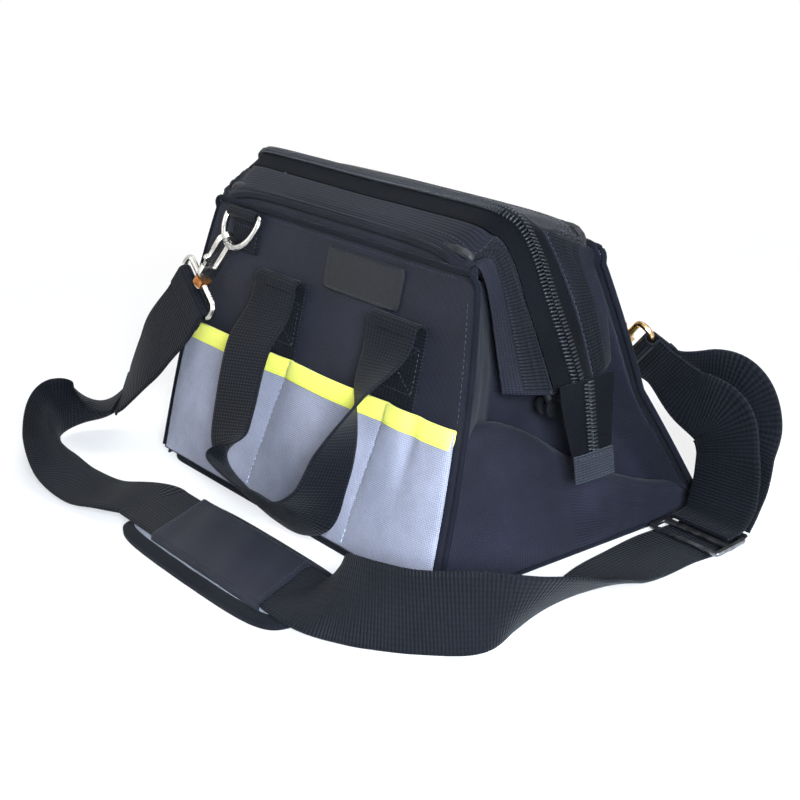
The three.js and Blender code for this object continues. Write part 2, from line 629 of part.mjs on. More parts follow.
// Zip line over the right half of the mouth, and the outer edge of each side's trim beside it
const ridgeFall = ridgeHeight - pivot.z;
const above = (share) => pivot.z + ridgeFall * share;
const ridgeLine = [[0, ridgeY, ridgeHeight], [ridgeHalfLength * 0.55, ridgeY, ridgeHeight + 0.5],
  [ridgeHalfLength, ridgeY, ridgeHeight], [ridgeHalfLength + 5, ridgeY + 1, ridgeHeight - 1.5],
  [142, -15.5, above(0.9485)], [148, -10, above(0.8026)], [156, -6, above(0.5622)], [164, -2, above(0.339)],
  [tailStand - 5, 1, above(0.0815)]];
const trimEdge = {
  front: [[145, -51, above(0.8884)], [149, -47, above(0.7854)], [150, -45, above(0.5622)],
    [151, -43, above(0.339)], [152, -41, above(0.133)]],
  rear: [[145, 43, above(0.8712)], [149.2, 33.3, above(0.751)], [150.1, 38.7, above(0.545)],
    [151, 42, above(0.339)], [152, 43, above(0.133)]],
};

// Rows across one side's trim: round the bar on top, and from the free edge to the zip on the ends
function trimRows(name) {
  const sign = name === 'front' ? -1 : 1;
  const bar = bars[name];
  const sleeve = rodRadius + seamGap + lining / 2;
  const half = ridgeLine.map((z, i) => {
    const zip = vec(...z).add(vec(0, sign * 2 * seamGap, 0));
    let outer;
    if (i < 4) {
      const start = i < 2 ? 235 : 205;
      const from = [0, 0.25, 0.5, 0.75, 1].map((t) => THREE.MathUtils.lerp(start, 118, t))
        .map((a) => (name === 'front' ? a : 180 - a));
      const round = sleeve + [0, 0, 0.8, 2][i];
      outer = from.map((a) => vec(zip.x * [0.94, 0.94, 0.93, 0.985][i], bar.y + round * Math.cos(radians(a)),
        bar.z - [0, 0, 0, 2][i] + round * Math.sin(radians(a))));
    } else {
      const edge = vec(...trimEdge[name][i - 4]);
      const side = zip.clone().sub(edge);
      const reach = (side.length() - tapeWidth) / side.length();
      outer = [0, 0.25, 0.5, 0.75, 1].map((t) => edge.clone().addScaledVector(side, t * reach)
        .add(vec(Math.sin(Math.PI * t) * 1.5, 0, 0)));
    }
    const last = outer[4];
    const way = last.clone().sub(zip).normalize();
    const seam = zip.clone().addScaledVector(way, tapeWidth);
    return { trim: i < 4 ? [...outer, seam] : [...outer.slice(0, 4), outer[3].clone().lerp(seam, 0.5), seam], zip, way };
  });
  const flip = (p) => vec(-p.x, p.y, p.z);
  const rows = [...half.slice(1).reverse().map((row) => ({ trim: row.trim.map(flip), zip: flip(row.zip),
    way: flip(row.way) })), ...half];
  if (name === 'rear') rows.reverse();
  return rows;
}

function trimAndZip(name) {
  const rows = trimRows(name);
  const gap = tapeThickness / 2 + seamGap;
  part(`${name}_trim`, sheet(rows.map(({ trim, way }) => trim.map((p, j) => (j === 5
    ? p.clone().addScaledVector(way, gap) : p))), lining), greyCloth);
  part(`${name}_zip_tape`, sheet(rows.map(({ zip, way }) => [zip.clone().addScaledVector(way, tapeWidth),
    zip.clone().addScaledVector(way, tapeWidth / 2), zip]), tapeThickness), webbing);
  const rings = rows.map(({ zip, way }, i) => {
    const next = rows[Math.min(i + 1, rows.length - 1)].zip;
    const last = rows[Math.max(i - 1, 0)].zip;
    const up = next.clone().sub(last).cross(way).normalize().negate();
    const foot = tapeThickness / 2 + 3 * seamGap;
    return [[seamGap, foot + coilHeight], [coilWidth - 0.8, foot + coilHeight], [coilWidth, foot], [seamGap, foot]]
      .map(([a, h]) => zip.clone().addScaledVector(way, a).addScaledVector(up, h));
  });
  part(`${name}_zip_coil`, loft(rings), coilNylon);
}

function longTrim() {
  ['front', 'rear'].forEach((name) => {
    frameRod(name);
    trimAndZip(name);
  });
  ['left', 'right'].forEach(rivet);
  ['left', 'right'].forEach(tail);
}

// Loose end of the zip at each end of the mouth, hanging outside the frames' rivet
function box(x0, x1, y0, y1, z0, z1) {
  return solid(upright([[x0, y0], [x1, y0], [x1, y1], [x0, y1]], z0, z1));
}

function tail(hand) {
  const outer = new THREE.Group();
  outer.position.set((hand === 'left' ? -1 : 1) * tailStand, 1.5, pivot.z + 11.5);
  outer.rotation.z = hand === 'left' ? Math.PI : 0;
  bag.add(outer);
  const group = new THREE.Group();
  group.rotation.y = -radians(4);
  outer.add(group);
  const half = tapeThickness;
  const ridge = half + coilHeight;
  const tape = box(-half, half, -tapeWidth + 2, tapeWidth - 2, -tailLength, 0);
  const coil = box(0, ridge, -coilWidth, coilWidth, -tailLength + 5, -1);
  part(`zip_tail_${hand}`, geometryOf(tape.add(coil)), webbing, group);
  if (hand === 'left') slider(group, half, ridge);
}

function slider(group, half, ridge) {
  const low = -tailLength + 7;
  const high = low + sliderLength;
  const face = ridge + seamGap + 1.6;
  let body = box(half + seamGap, face, -coilWidth - 2, coilWidth + 2, low, high)
    .subtract(box(0, ridge + seamGap, -coilWidth - 0.4, coilWidth + 0.4, low - 1, high + 1));
  const bridge = box(face - 0.5, face + 4.2, -1, 1, low + 2, high - 1.5)
    .subtract(box(face, face + 3, -2, 2, low + 3.2, high - 2.7));
  body = body.add(bridge);
  part('zip_slider', geometryOf(body), nickel, group);
  const eyeTop = high - 4.6;
  const inX = face + 0.8;
  const tab = box(inX, inX + 1.4, -4.5, 4.5, eyeTop - 27, eyeTop)
    .subtract(box(inX - 1, inX + 3, -3.1, 3.1, eyeTop - 8, eyeTop - 1.4));
  part('zip_pull', geometryOf(tab), nickel, group);
}

// Shoulder pad lying on the ground in front, and the sleeve on it that the strap runs through
const padTop = seamGap + padThickness;
function shoulderPad() {
  const outline = roundedRectangle(padLength / 2, padWidth / 2, padWidth * 0.36, 5)
    .map(([x, y]) => [x + padCentre[0], y * (1 - 0.12 * (x / (padLength / 2)) ** 2) + padCentre[1]]);
  part('shoulder_pad', upright(outline, seamGap, padTop), greyCloth);
  const halfY = webWidth / 2 + 3;
  const slant = 14;
  const ends = [padCentre[0] - sleeveLength / 2, padCentre[0] + sleeveLength / 2];
  const plan = [[ends[0] + slant, -halfY], [ends[1] + slant, -halfY], [ends[1] - slant, halfY],
    [ends[0] - slant, halfY]].map(([x, y]) => [x, y + padCentre[1]]);
  const floor = padTop + seamGap;
  const room = strapThickness + 4 * seamGap;
  const inner = [webWidth / 2 + 1, floor + room];
  const shell = solid(upright(plan, floor, inner[1] + sleeveWall))
    .subtract(box(-bagLength, bagLength, padCentre[1] - inner[0], padCentre[1] + inner[0], 0, inner[1]));
  part('pad_sleeve', geometryOf(shell), greyCloth);
}

// Shoulder strap, as it lies: from the front hook over the ground, under the sleeve and up to the rear hook.
// The route's points are laid out beside a base of these half sizes and move out with it.
const routeHalf = [165, 107];
function beside([x, y, z]) {
  return [x + Math.sign(x) * (bagLength / 2 - routeHalf[0]), y + Math.sign(y) * (bagWidth / 2 - routeHalf[1]), z];
}

function strapExit(name, shift) {
  const group = bag.getObjectByName(`${name}_strap_end`).parent;
  group.updateWorldMatrix(true, false);
  const low = group.userData.strapEnd;
  const turn = new THREE.Matrix3().setFromMatrix4(group.matrixWorld);
  const at = (drop) => vec(0, low.y + shift, low.z - drop).applyMatrix4(group.matrixWorld).toArray();
  const across = vec(1, 0, 0).applyMatrix3(turn).toArray();
  return [[at(2 * seamGap), across], [at(7), across]];
}

function strap() {
  const sleeveZ = padTop + seamGap + 2 * seamGap + strapThickness / 2;
  const padX = padCentre[0];
  const padY = padCentre[1];
  const outside = ([p, w]) => [beside(p), w];
  const frontDrop = [...strapExit('front', 0), ...[
    [[-171, -98, 86], [0.94, -0.12, -0.3]],
    [[-187, -104, 66], [0.96, -0.2, -0.1]],
    [[-203, -114, 42], [0.91, -0.39, 0]]].map(outside)];
  const frontFloor = [
    [[-204.7, -115, 39.6], [0.91, -0.39, 0]],
    [[-222, -124, 30], [0.8, -0.42, 0.4]],
    [[-239, -137, 27], [0.55, -0.2, 0.8]],
    [[-240, -155, 27], [0.2, -0.25, 0.92]],
    [[-222, -171, 24.5], [0.15, -0.5, 0.8]],
    [[-196, -180, 16], [0.2, -0.85, 0.5]],
    [[-164, -184, 6], [0.25, -0.95, 0.2]],
    [[-128, -181, 4], [0.25, -0.96, 0.06]],
    [[-95, -174, 9], [0.22, -0.97, 0]],
  ].map(outside).concat([[[padX - padLength / 2 - 8, padY, sleeveZ + 0.4], [0.04, -1, 0]],
    [[padX - sleeveLength / 2 - 22, padY, sleeveZ], [0, -1, 0]],
    [[padX - 30, padY, sleeveZ], [0, -1, 0]],
    [[padX - seamGap, padY, sleeveZ], [0, -1, 0]]]);
  const side = [[[padX + seamGap, padY, sleeveZ], [0, -1, 0]],
    [[padX + 30, padY, sleeveZ], [0, -1, 0]],
    [[padX + sleeveLength / 2 - 4, padY, sleeveZ], [0, -1, 0]],
    [[padX + sleeveLength / 2 + 14, padY, sleeveZ + 0.6], [0, -1, 0]],
    [[padX + sleeveLength / 2 + 21, padY, sleeveZ + 4], [0, -1, -0.1]],
    ...[[[131, -164, 19.5], [0.05, -0.8, -0.5]],
      [[147, -164, 25], [0.1, -0.35, -0.93]],
      [[178, -160, 27], [0, -0.15, -1]],
      [[205, -146, 27], [0, -0.05, -1]],
      [[227, -123, 27], [0, 0, -1]],
      [[236, -93, 25], [-0.5, 0.2, -0.84]],
      [[228, -54, 16], [-0.8, 0.3, -0.5]],
      [[212, -18, 8], [-0.95, 0.25, -0.2]],
      [[202, 15, 3], [-0.98, 0.1, -0.05]],
      [[197, 45, 1.7], [-1, 0, 0]],
      [[198, 62, 1.7], [-1, 0, 0]],
      [[200, 76, 2.6], [-1, 0, 0]],
      [[200, 86, 7], [-1, 0, 0]]].map(outside)];
  const rise = [[[200, 87.6, 8.3], [-1, 0, 0]],
    [[200, 95, 18], [-1, 0, 0]],
    [[200, 100, 31], [-0.97, -0.12, -0.05]],
    [[203, 104, 52], [-0.93, -0.1, -0.3]],
    [[203, 108, 68], [-0.9, -0.2, -0.38]],
    [[193, 109, 84], [-0.8, -0.2, -0.5]],
    [[170, 103, 92], [-0.75, 0.1, -0.62]]].map(outside);
  const inner = [[[200, 69.5, 9.4], [-1, 0, 0]],
    [[200, 83, 11.5], [-1, 0, 0]],
    [[199.5, 90, 20], [-0.97, -0.12, 0]],
    [[199, 94, 32], [-0.95, -0.12, -0.1]],
    [[198, 96, 50], [-0.93, -0.1, -0.3]],
    [[190, 98, 68], [-0.85, -0.2, -0.45]],
    [[168, 93, 80], [-0.78, 0, -0.6]]].map(outside);
  const away = ([p, w]) => [p, w.map((v) => -v)];
  const rearExit = strapExit('rear', -strapThickness * 0.8).reverse();
  const rearInner = strapExit('rear', strapThickness * 0.8).reverse();
  part('strap_front_drop', ribbon(frontDrop, webWidth, strapThickness, 14), webbing);
  part('strap_front_floor', ribbon(frontFloor, webWidth, strapThickness, 44), webbing);
  part('strap_side', ribbon(side, webWidth, strapThickness, 52), webbing);
  part('strap_rear_outer', ribbon([...rise, ...rearExit], webWidth, strapThickness, 26), webbing);
  part('strap_rear_inner', ribbon([...inner, ...rearInner], webWidth, strapThickness, 26), webbing);
  glide();
}

function glide() {
  const group = new THREE.Group();
  group.position.set(...beside([200, 68, 6.2]));
  group.rotation.x = radians(6);
  bag.add(group);
  const halfWide = webWidth / 2 + 5;
  const halfLong = glideLength / 2;
  const outer = roundedRectangle(halfWide, halfLong, 3, 2);
  let body = solid(upright(outer, -0.6 * glideBar, 0.4 * glideBar));
  [-1, 1].forEach((way) => {
    const y = (way * (halfLong - 1)) / 2;
    const room = halfLong / 2 - 2.8;
    body = body.subtract(box(-webWidth / 2 - 1, webWidth / 2 + 1, y - room, y + room, -9, 9));
  });
  part('strap_glide', geometryOf(body), nickel, group);
}

function longSide(name) {
  const side = sides[name];
  const turned = new THREE.Group();
  turned.rotation.z = name === 'rear' ? Math.PI : 0;
  const group = new THREE.Group();
  group.position.y = -bagWidth / 2;
  group.rotation.x = -side.lean;
  turned.add(group);
  bag.add(turned);
  panel(name, side, group);
  pocket(name, side, group);
  handle(name, side, group);
  ringAndHook(name, side, group);
  ['left', 'right'].forEach((hand) => gussetHalf(name, hand, side, group));
  if (name === 'front') patch(group);
}

base();
longSide('front');
longSide('rear');
['left', 'right'].forEach(endPieces);
longTrim();
shoulderPad();
strap();

export default bag;
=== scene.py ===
"""A zippered tool bag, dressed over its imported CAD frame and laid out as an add-on that runs as a script.

Sizes inside the functions are millimetres in the frame of the part: +X along the bag, front face towards -Y,
+Z up. make_object turns them into metres.
"""

import json
import math

import bmesh
import bpy
import numpy as np
from mathutils import Matrix


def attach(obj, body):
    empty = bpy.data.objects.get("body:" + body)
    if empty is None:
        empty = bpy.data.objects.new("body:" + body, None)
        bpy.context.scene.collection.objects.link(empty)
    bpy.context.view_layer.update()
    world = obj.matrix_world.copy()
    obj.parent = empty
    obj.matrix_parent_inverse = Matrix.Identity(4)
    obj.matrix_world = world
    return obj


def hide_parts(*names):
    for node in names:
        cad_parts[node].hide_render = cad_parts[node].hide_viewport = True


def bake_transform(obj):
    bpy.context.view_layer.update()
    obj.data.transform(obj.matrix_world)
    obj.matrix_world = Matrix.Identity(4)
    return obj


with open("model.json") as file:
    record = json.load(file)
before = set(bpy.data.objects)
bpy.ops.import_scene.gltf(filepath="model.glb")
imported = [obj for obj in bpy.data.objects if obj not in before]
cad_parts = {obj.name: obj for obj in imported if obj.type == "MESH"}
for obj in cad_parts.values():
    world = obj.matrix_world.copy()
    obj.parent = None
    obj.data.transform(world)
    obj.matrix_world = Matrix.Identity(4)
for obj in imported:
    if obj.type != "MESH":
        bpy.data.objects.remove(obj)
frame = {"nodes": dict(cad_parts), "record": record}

bl_info = {
    "name": "Zippered tool bag",
    "version": (1, 0, 0),
    "blender": (4, 5, 0),
    "location": "View3D > Sidebar > Tool bag",
    "description": "Builds the cloth, webbing, zip and metal of a wide-mouth tool bag",
    "category": "Object",
}

MM = 0.001

# Sizes of the bag, as its solids have them
BAG_LENGTH = 330
BAG_WIDTH = 214
PANEL_HEIGHT = 203
CLOTH = 2
LINING = 1.4
GAP = 0.3
SKIN = CLOTH / 2 + GAP
PIPING = 1.9
BASE_CORNER = 24
POCKET_HEIGHT = 103
POCKET_BOTTOM = 7
POCKET_DEPTH = 8
POCKET_SIDE = 5
BINDING_HEIGHT = 11
ROD = 3
LEG_LENGTH = 105
TAPE_WIDTH = 15
WEB_WIDTH = 50
STRAP_THICKNESS = 2
HANDLE_THICKNESS = 1.8
HANDLE_XS = (-42, 90)
HANDLE_FOLD = 150.5
HANDLE_LIP = 147.5
HANDLE_FOOT = 109
HANDLE_GAP = 2.5
FOLD_RADIUS = 4.5
RING_WIRE = 2.2
RING_PLAY = 0.4
RING_ARC = 21
RING_DROP = 3
RING_TILT = 13
TAB_WIDTH = 37
TAB_THICKNESS = 1.4
PATCH_SIZE = (84, 27)
PATCH_CENTRE = (40, 170)
PAD_CENTRE = (33, -165)
PAD_SIZE = (195, 72)
PAD_THICKNESS = 7
PAD_BORDER = 7.2
SLEEVE_LENGTH = 132
SLEEVE_SLANT = 14
PANEL_FOOT = 5
EDGE_PAST = 1.6
CORNER_CUT = 1.5
CORNER_REACH = 30
PANEL_TOP = PANEL_HEIGHT - ROD - LINING - GAP

HANDS = ((-1, "left"), (1, "right"))

BODY_OF = {
    node: body
    for body, nodes in frame["record"]["behaviour"]["bodies"].items()
    for node in nodes
}


# Numbers, lines and grids

def smooth(value, low, high):
    """Rises from 0 at low to 1 at high as 3t squared less 2t cubed."""
    t = np.clip((value - low) / (high - low), 0, 1)
    return t * t * (3 - 2 * t)


def broadcast(*values):
    """Numbers and arrays, brought to one shape."""
    return np.broadcast_arrays(*[np.asarray(value, float) for value in values])


def unit(vectors):
    """Each vector divided by its own length."""
    return vectors / np.maximum(np.linalg.norm(vectors, axis=-1, keepdims=True), 1e-9)


def spline(points, count, centripetal=True):
    """A Catmull-Rom curve through the points along their first axis, sampled evenly between the knots.

    Each stretch is the cubic that has the knots' own slopes at its two ends; centripetal spaces the knots by
    the root of their distance.
    """
    knots = np.asarray(points, float)
    steps = np.linspace(0, len(knots) - 1, count)
    index = np.minimum(steps.astype(int), len(knots) - 2)
    share = (steps - index).reshape((-1,) + (1,) * (knots.ndim - 1))
    padded = np.concatenate([[2 * knots[0] - knots[1]], knots, [2 * knots[-1] - knots[-2]]])
    a, b, c, d = (padded[index + k] for k in range(4))
    if centripetal:
        gaps = [np.sqrt(np.maximum(np.linalg.norm(q - p, axis=-1, keepdims=True), 1e-4))
                for p, q in ((a, b), (b, c), (c, d))]
    else:
        gaps = [1.0, 1.0, 1.0]
    leave = ((b - a) / gaps[0] - (c - a) / (gaps[0] + gaps[1]) + (c - b) / gaps[1]) * gaps[1]
    reach = ((c - b) / gaps[1] - (d - b) / (gaps[1] + gaps[2]) + (d - c) / gaps[2]) * gaps[1]
    square = 3 * (c - b) - 2 * leave - reach
    cube = 2 * (b - c) + leave + reach
    return b + leave * share + square * share**2 + cube * share**3


def finer(grid, rows, columns):
    """A grid of points passed through splines both ways."""
    once = spline(np.asarray(grid, float), rows)
    return spline(once.transpose(1, 0, 2), columns).transpose(1, 0, 2)


def run_along(line):
    """The length from a polyline's start to each of its points."""
    return np.concatenate([[0], np.cumsum(np.linalg.norm(np.diff(line, axis=0), axis=1))])


def length_of(line):
    """A polyline's whole length."""
    return np.linalg.norm(np.diff(line, axis=0), axis=1).sum()


def sampled(at, run, rows):
    """Rows of three numbers, each known at a place of the run, read off at other places."""
    return np.stack([np.interp(at, run, rows[:, k]) for k in range(3)], axis=1)


def evenly(line, count):
    """The same polyline, sampled at even lengths along it."""
    line = np.asarray(line, float)
    run = run_along(line)
    return sampled(np.linspace(0, run[-1], count), run, line)


def grid_normals(grid):
    """The cross product of the grid's two directions at each point."""
    return unit(np.cross(np.gradient(grid, axis=0), np.gradient(grid, axis=1)))


def grid_lengths(grid):
    """Distance along the columns and along the rows at each point, in metres: the piece's own UV map."""
    across = np.linalg.norm(np.diff(grid, axis=1), axis=-1).mean(0)
    along = np.linalg.norm(np.diff(grid, axis=0), axis=-1).mean(1)
    u = np.concatenate([[0], np.cumsum(across)])
    v = np.concatenate([[0], np.cumsum(along)])
    return np.stack(np.meshgrid(u, v), axis=-1) * MM


def quads(rows, columns, wrap=False):
    """Indices of the four corners of each cell of a grid."""
    i = np.arange(rows - 1)[:, None]
    j = np.arange(columns if wrap else columns - 1)[None, :]
    a = i * columns + j
    b = i * columns + (j + 1) % columns
    return np.stack([a, a + columns, b + columns, b], axis=-1).reshape(-1, 4)


# Objects

def make_object(name, points, faces, uv, material, recalculate=True):
    """One mesh object from points in millimetres, faces and a UV pair for each point."""
    points = np.asarray(points, float).reshape(-1, 3)
    uv = np.asarray(uv, float).reshape(-1, 2)
    mesh = bpy.data.meshes.new(name)
    mesh.from_pydata((points * MM).tolist(), [], [list(map(int, face)) for face in faces])
    corners = np.zeros(len(mesh.loops), np.int32)
    mesh.loops.foreach_get("vertex_index", corners)
    layer = mesh.uv_layers.new(name="UVMap")
    layer.data.foreach_set("uv", uv[corners].ravel())
    if recalculate:
        shell = bmesh.new()
        shell.from_mesh(mesh)
        bmesh.ops.recalc_face_normals(shell, faces=shell.faces)
        shell.to_mesh(mesh)
        shell.free()
    mesh.shade_smooth()
    mesh.set_sharp_from_angle(angle=math.radians(55))
    mesh.materials.append(material)
    obj = bpy.data.objects.new(name, mesh)
    bpy.context.collection.objects.link(obj)
    return obj


def dress(obj, nodes=(), body=None):
    """The piece rides with its node's body and stands for its nodes."""
    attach(obj, body or BODY_OF[nodes[0]])
    if nodes:
        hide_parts(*nodes)


def stretch(obj, nodes=()):
    """Cloth that crosses a side's hinge: it stands for its nodes and keeps its place, with no body."""
    if nodes:
        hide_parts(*nodes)
    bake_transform(obj)


def slab(name, middle, thickness, material, rim=0.5):
    """A sheet of even thickness, half of it on each side of the middle grid along the normals.

    At the rim a wall joins the two faces, which stand only a share of that apart.
    """
    rows, columns = middle.shape[:2]
    half = np.full((rows, columns, 1), thickness / 2)
    half[[0, -1], :] *= rim
    half[:, [0, -1]] *= rim
    normals = grid_normals(middle)
    count = rows * columns
    points = np.concatenate([middle + normals * half, middle - normals * half]).reshape(-1, 3)
    index = np.arange(count).reshape(rows, columns)
    edge = np.concatenate([index[0, :-1], index[:-1, -1], index[-1, :0:-1], index[:0:-1, 0]])
    after = np.roll(edge, -1)
    wall = np.stack([edge, after, after + count, edge + count], axis=1)
    faces = np.concatenate([quads(rows, columns), quads(rows, columns)[:, ::-1] + count, wall])
    uv = np.tile(grid_lengths(middle).reshape(-1, 2), (2, 1))
    return make_object(name, points, faces, uv, material)


def loft(name, rings, uv, material):
    """A closed skin through rings of points, with a flat face on each end."""
    rows, columns = rings.shape[:2]
    faces = [list(face) for face in quads(rows, columns, wrap=True)]
    faces.append(list(range(columns)))
    faces.append(list(range((rows - 1) * columns, rows * columns)))
    return make_object(name, rings, faces, uv, material)


def band_profile(width, thickness, across=15):
    """The outline of flat webbing: two flat runs and two half-round selvedges."""
    flat = np.linspace(-1, 1, across) * (width - thickness) / 2
    turn = np.radians([-45, 0, 45])
    tip = (width - thickness) / 2 + np.cos(turn) * thickness / 2
    rise = np.sin(turn) * thickness / 2
    x = np.concatenate([flat, tip, flat[::-1], -tip[::-1]])
    y = np.concatenate([np.full(across, -thickness / 2), rise, np.full(across, thickness / 2), rise[::-1]])
    return np.stack([x, y], axis=1)


def band(name, stations, width, thickness, material, count):
    """Flat webbing: its outline carried along a spline, its width laid along each station's direction."""
    places = [place for place, _ in stations]
    ways = [unit(np.asarray(way, float)) for _, way in stations]
    line = spline(places, count)
    way = spline(ways, count, centripetal=False)
    tangent = unit(np.gradient(line, axis=0))
    side = unit(way - tangent * np.sum(way * tangent, axis=1, keepdims=True))
    face = np.cross(tangent, side)
    profile = band_profile(width, thickness)
    rings = line[:, None] + side[:, None] * profile[None, :, :1] + face[:, None] * profile[None, :, 1:]
    uv = np.stack(np.broadcast_arrays(profile[None, :, 0], run_along(line)[:, None]), axis=-1) * MM
    return loft(name, rings, uv, material), line


def tube(name, line, radius, material, sides=12, closed=False):
    """A round cord: a circle carried along the line, turned to the vertical, or to +X or +Y if steep."""
    line = np.asarray(line, float)
    if closed:
        tangent = unit(np.roll(line, -1, axis=0) - np.roll(line, 1, axis=0))
    else:
        tangent = unit(np.gradient(line, axis=0))
    if np.abs(tangent[:, 2]).max() < 0.95:
        guide = np.array([0.0, 0.0, 1.0])
    else:
        guide = np.where(np.abs(tangent[:, :1]) > 0.9, [[0.0, 1.0, 0.0]], [[1.0, 0.0, 0.0]])
    side = unit(np.cross(tangent, guide))
    up = np.cross(side, tangent)
    angle = np.linspace(0, 2 * math.pi, sides, endpoint=False)
    ring = side[:, None] * np.cos(angle)[None, :, None] + up[:, None] * np.sin(angle)[None, :, None]
    rings = line[:, None] + ring * radius
    uv = np.stack(np.broadcast_arrays(angle[None, :] * radius, run_along(line)[:, None]), axis=-1) * MM
    if not closed:
        return loft(name, rings, uv, material)
    rows = len(line)
    faces = quads(rows + 1, sides, wrap=True) % (rows * sides)
    return make_object(name, rings, faces, uv, material)


def capsules(name, centres, along, normal, length, radius, material, sides=6, tall=1.0):
    """Many small rounded bars in one mesh: rings that narrow as the root of 1 less t to the fourth.

    Along the normal a bar is taller than it is wide by the factor tall.
    """
    stations = np.array([-1, -0.8, 0, 0.8, 1.0])
    swell = np.sqrt(1 - stations**4) * 0.85 + 0.15
    angle = np.linspace(0, 2 * math.pi, sides, endpoint=False)
    across = np.cross(along, normal)
    ring = (across[:, None] * np.cos(angle)[None, :, None]
            + normal[:, None] * np.sin(angle)[None, :, None] * tall)
    points = (centres[:, None, None] + along[:, None, None] * stations[None, :, None, None] * length / 2
              + ring[:, None] * swell[None, :, None, None] * radius)
    each = len(stations) * sides
    one = quads(len(stations), sides, wrap=True)
    faces = (one[None] + np.arange(len(centres))[:, None, None] * each).reshape(-1, 4).tolist()
    cap = np.arange(sides)[::-1]
    starts = np.arange(len(centres))[:, None] * each
    faces += (starts + cap[None]).tolist()
    faces += (starts + each - sides + np.arange(sides)[None]).tolist()
    uv = np.zeros((len(centres) * each, 2))
    return make_object(name, points, faces, uv, material)


def stitch_row(line, normal, pitch, share=0.62):
    """Centres, directions and normals of the stitches along a line."""
    line = np.asarray(line, float)
    count = max(int(length_of(line) / pitch), 2)
    fine = evenly(line, 2 * count + 1)
    centres = fine[1::2]
    along = unit(fine[2::2] - fine[:-2:2])
    facing = np.asarray(normal, float)
    if facing.ndim == 2:
        steps = np.linspace(0, len(facing) - 1, 2 * count + 1)[1::2]
        facing = sampled(steps, np.arange(len(facing)), facing)
    facing = np.broadcast_to(facing, centres.shape)
    facing = unit(facing - along * np.sum(facing * along, axis=1, keepdims=True))
    return centres, along, facing, pitch * share


def sew(name, rows, radius, thread, body):
    """One thread piece from several rows of stitches."""
    centres, along, facing = (np.concatenate([row[k] for row in rows]) for k in range(3))
    obj = capsules(name, centres, along, facing, rows[0][3], radius, FINISHES[f"{thread}_thread"])
    dress(obj, body=body)


# Where things are

def lean(bar_in):
    """A panel's lean: the angle whose sine is how far its bar stands in over its height."""
    return math.asin(bar_in / PANEL_HEIGHT)


FRONT_BAR_IN = 60
REAR_BAR_IN = 69
REAR_SAG = 15
SIDES = {
    "front": {"lean": lean(FRONT_BAR_IN), "sag": 0, "ring_x": -104, "ring_s": 186, "grip": 28,
              "hook_tilt": 33, "hook_swing": 2, "end_swing": 0, "tuck": 36, "seam": 2},
    "rear": {"lean": lean(REAR_BAR_IN), "sag": REAR_SAG, "ring_x": -98, "ring_s": 170, "grip": 30,
             "hook_tilt": 40, "hook_swing": 2, "end_swing": 12, "tuck": 16, "seam": 5},
}
BARS = {
    "front": np.array([0, -BAG_WIDTH / 2 + FRONT_BAR_IN, PANEL_HEIGHT * math.cos(lean(FRONT_BAR_IN))]),
    "rear": np.array([0, BAG_WIDTH / 2 - REAR_BAR_IN, PANEL_HEIGHT * math.cos(lean(REAR_BAR_IN))]),
}
CHORD = BARS["rear"] - BARS["front"]
PIVOT_DROP = math.sqrt(LEG_LENGTH**2 - (np.linalg.norm(CHORD) / 2) ** 2)
PIVOT = (BARS["front"] + BARS["rear"]) / 2 + unit(np.array([0, CHORD[2], -CHORD[1]])) * PIVOT_DROP
LEG_ANGLE = {
    "front": math.atan2(PIVOT[1] - BARS["front"][1], BARS["front"][2] - PIVOT[2]),
    "rear": math.atan2(BARS["rear"][1] - PIVOT[1], BARS["rear"][2] - PIVOT[2]),
}


def edge_x(s):
    """Half a panel's length at a height along it: it narrows as the height's share to the power 2.5."""
    return BAG_LENGTH / 2 - 24 * (np.asarray(s, float) / PANEL_HEIGHT) ** 2.5


def sag_at(name, s):
    """How far the panel sags inwards: a straight rise to the pocket's top and a straight fall above it."""
    sag = SIDES[name]["sag"]
    s = np.asarray(s, float)
    below = sag * s / POCKET_HEIGHT
    above = sag * (PANEL_HEIGHT - s) / (PANEL_HEIGHT - POCKET_HEIGHT)
    return np.where(s < POCKET_HEIGHT, below, above)


def puff(name, x, s):
    """How far the soft panel swells outwards: a low crown, and slanting creases that fade at its edges."""
    turn = 1 if name == "front" else -1.7
    middle = 1 - np.clip(np.abs(x) / edge_x(s), 0, 1) ** 2
    rise = np.sin(math.pi * np.clip(s / PANEL_HEIGHT, 0, 1))
    creases = 0.45 * np.sin(0.045 * x * turn + 0.05 * s + 0.6) * np.sin(0.021 * x - 0.06 * s + 1.1 * turn)
    return middle * rise * (1.1 + creases)


def placed(name, local):
    """Points of a long side, from its own upright frame (outwards is -Y) to the part's frame."""
    local = np.asarray(local, float)
    angle = SIDES[name]["lean"]
    y = -BAG_WIDTH / 2 + local[..., 1] * math.cos(angle) + local[..., 2] * math.sin(angle)
    z = -local[..., 1] * math.sin(angle) + local[..., 2] * math.cos(angle)
    turn = 1 if name == "front" else -1
    return np.stack([turn * local[..., 0], turn * y, z], axis=-1)


def outwards(name):
    """The direction straight out of a long side."""
    zero = placed(name, [0, 0, 0])
    return placed(name, [0, -1, 0]) - zero


def on_panel(name, x, s, out):
    """Points that stand out from a panel's middle sheet by a distance, at x and s on it."""
    x, s, out = broadcast(x, s, out)
    return placed(name, np.stack([x, sag_at(name, s) - out, s], axis=-1))


def panel_row(name, x, s, out, pitch, share=0.62):
    """Stitches at x and s on a panel, standing out from its middle sheet by a distance."""
    return stitch_row(on_panel(name, x, s, out), outwards(name), pitch, share)


def panel_path(name, path, count, out, pitch, swell=1):
    """Stitches along a path of x and s, out from the panel by a distance and by a share of its swelling."""
    x, s, _ = evenly([[x, s, 0] for x, s in path], count).T
    return panel_row(name, x, s, out + swell * puff(name, x, s), pitch)


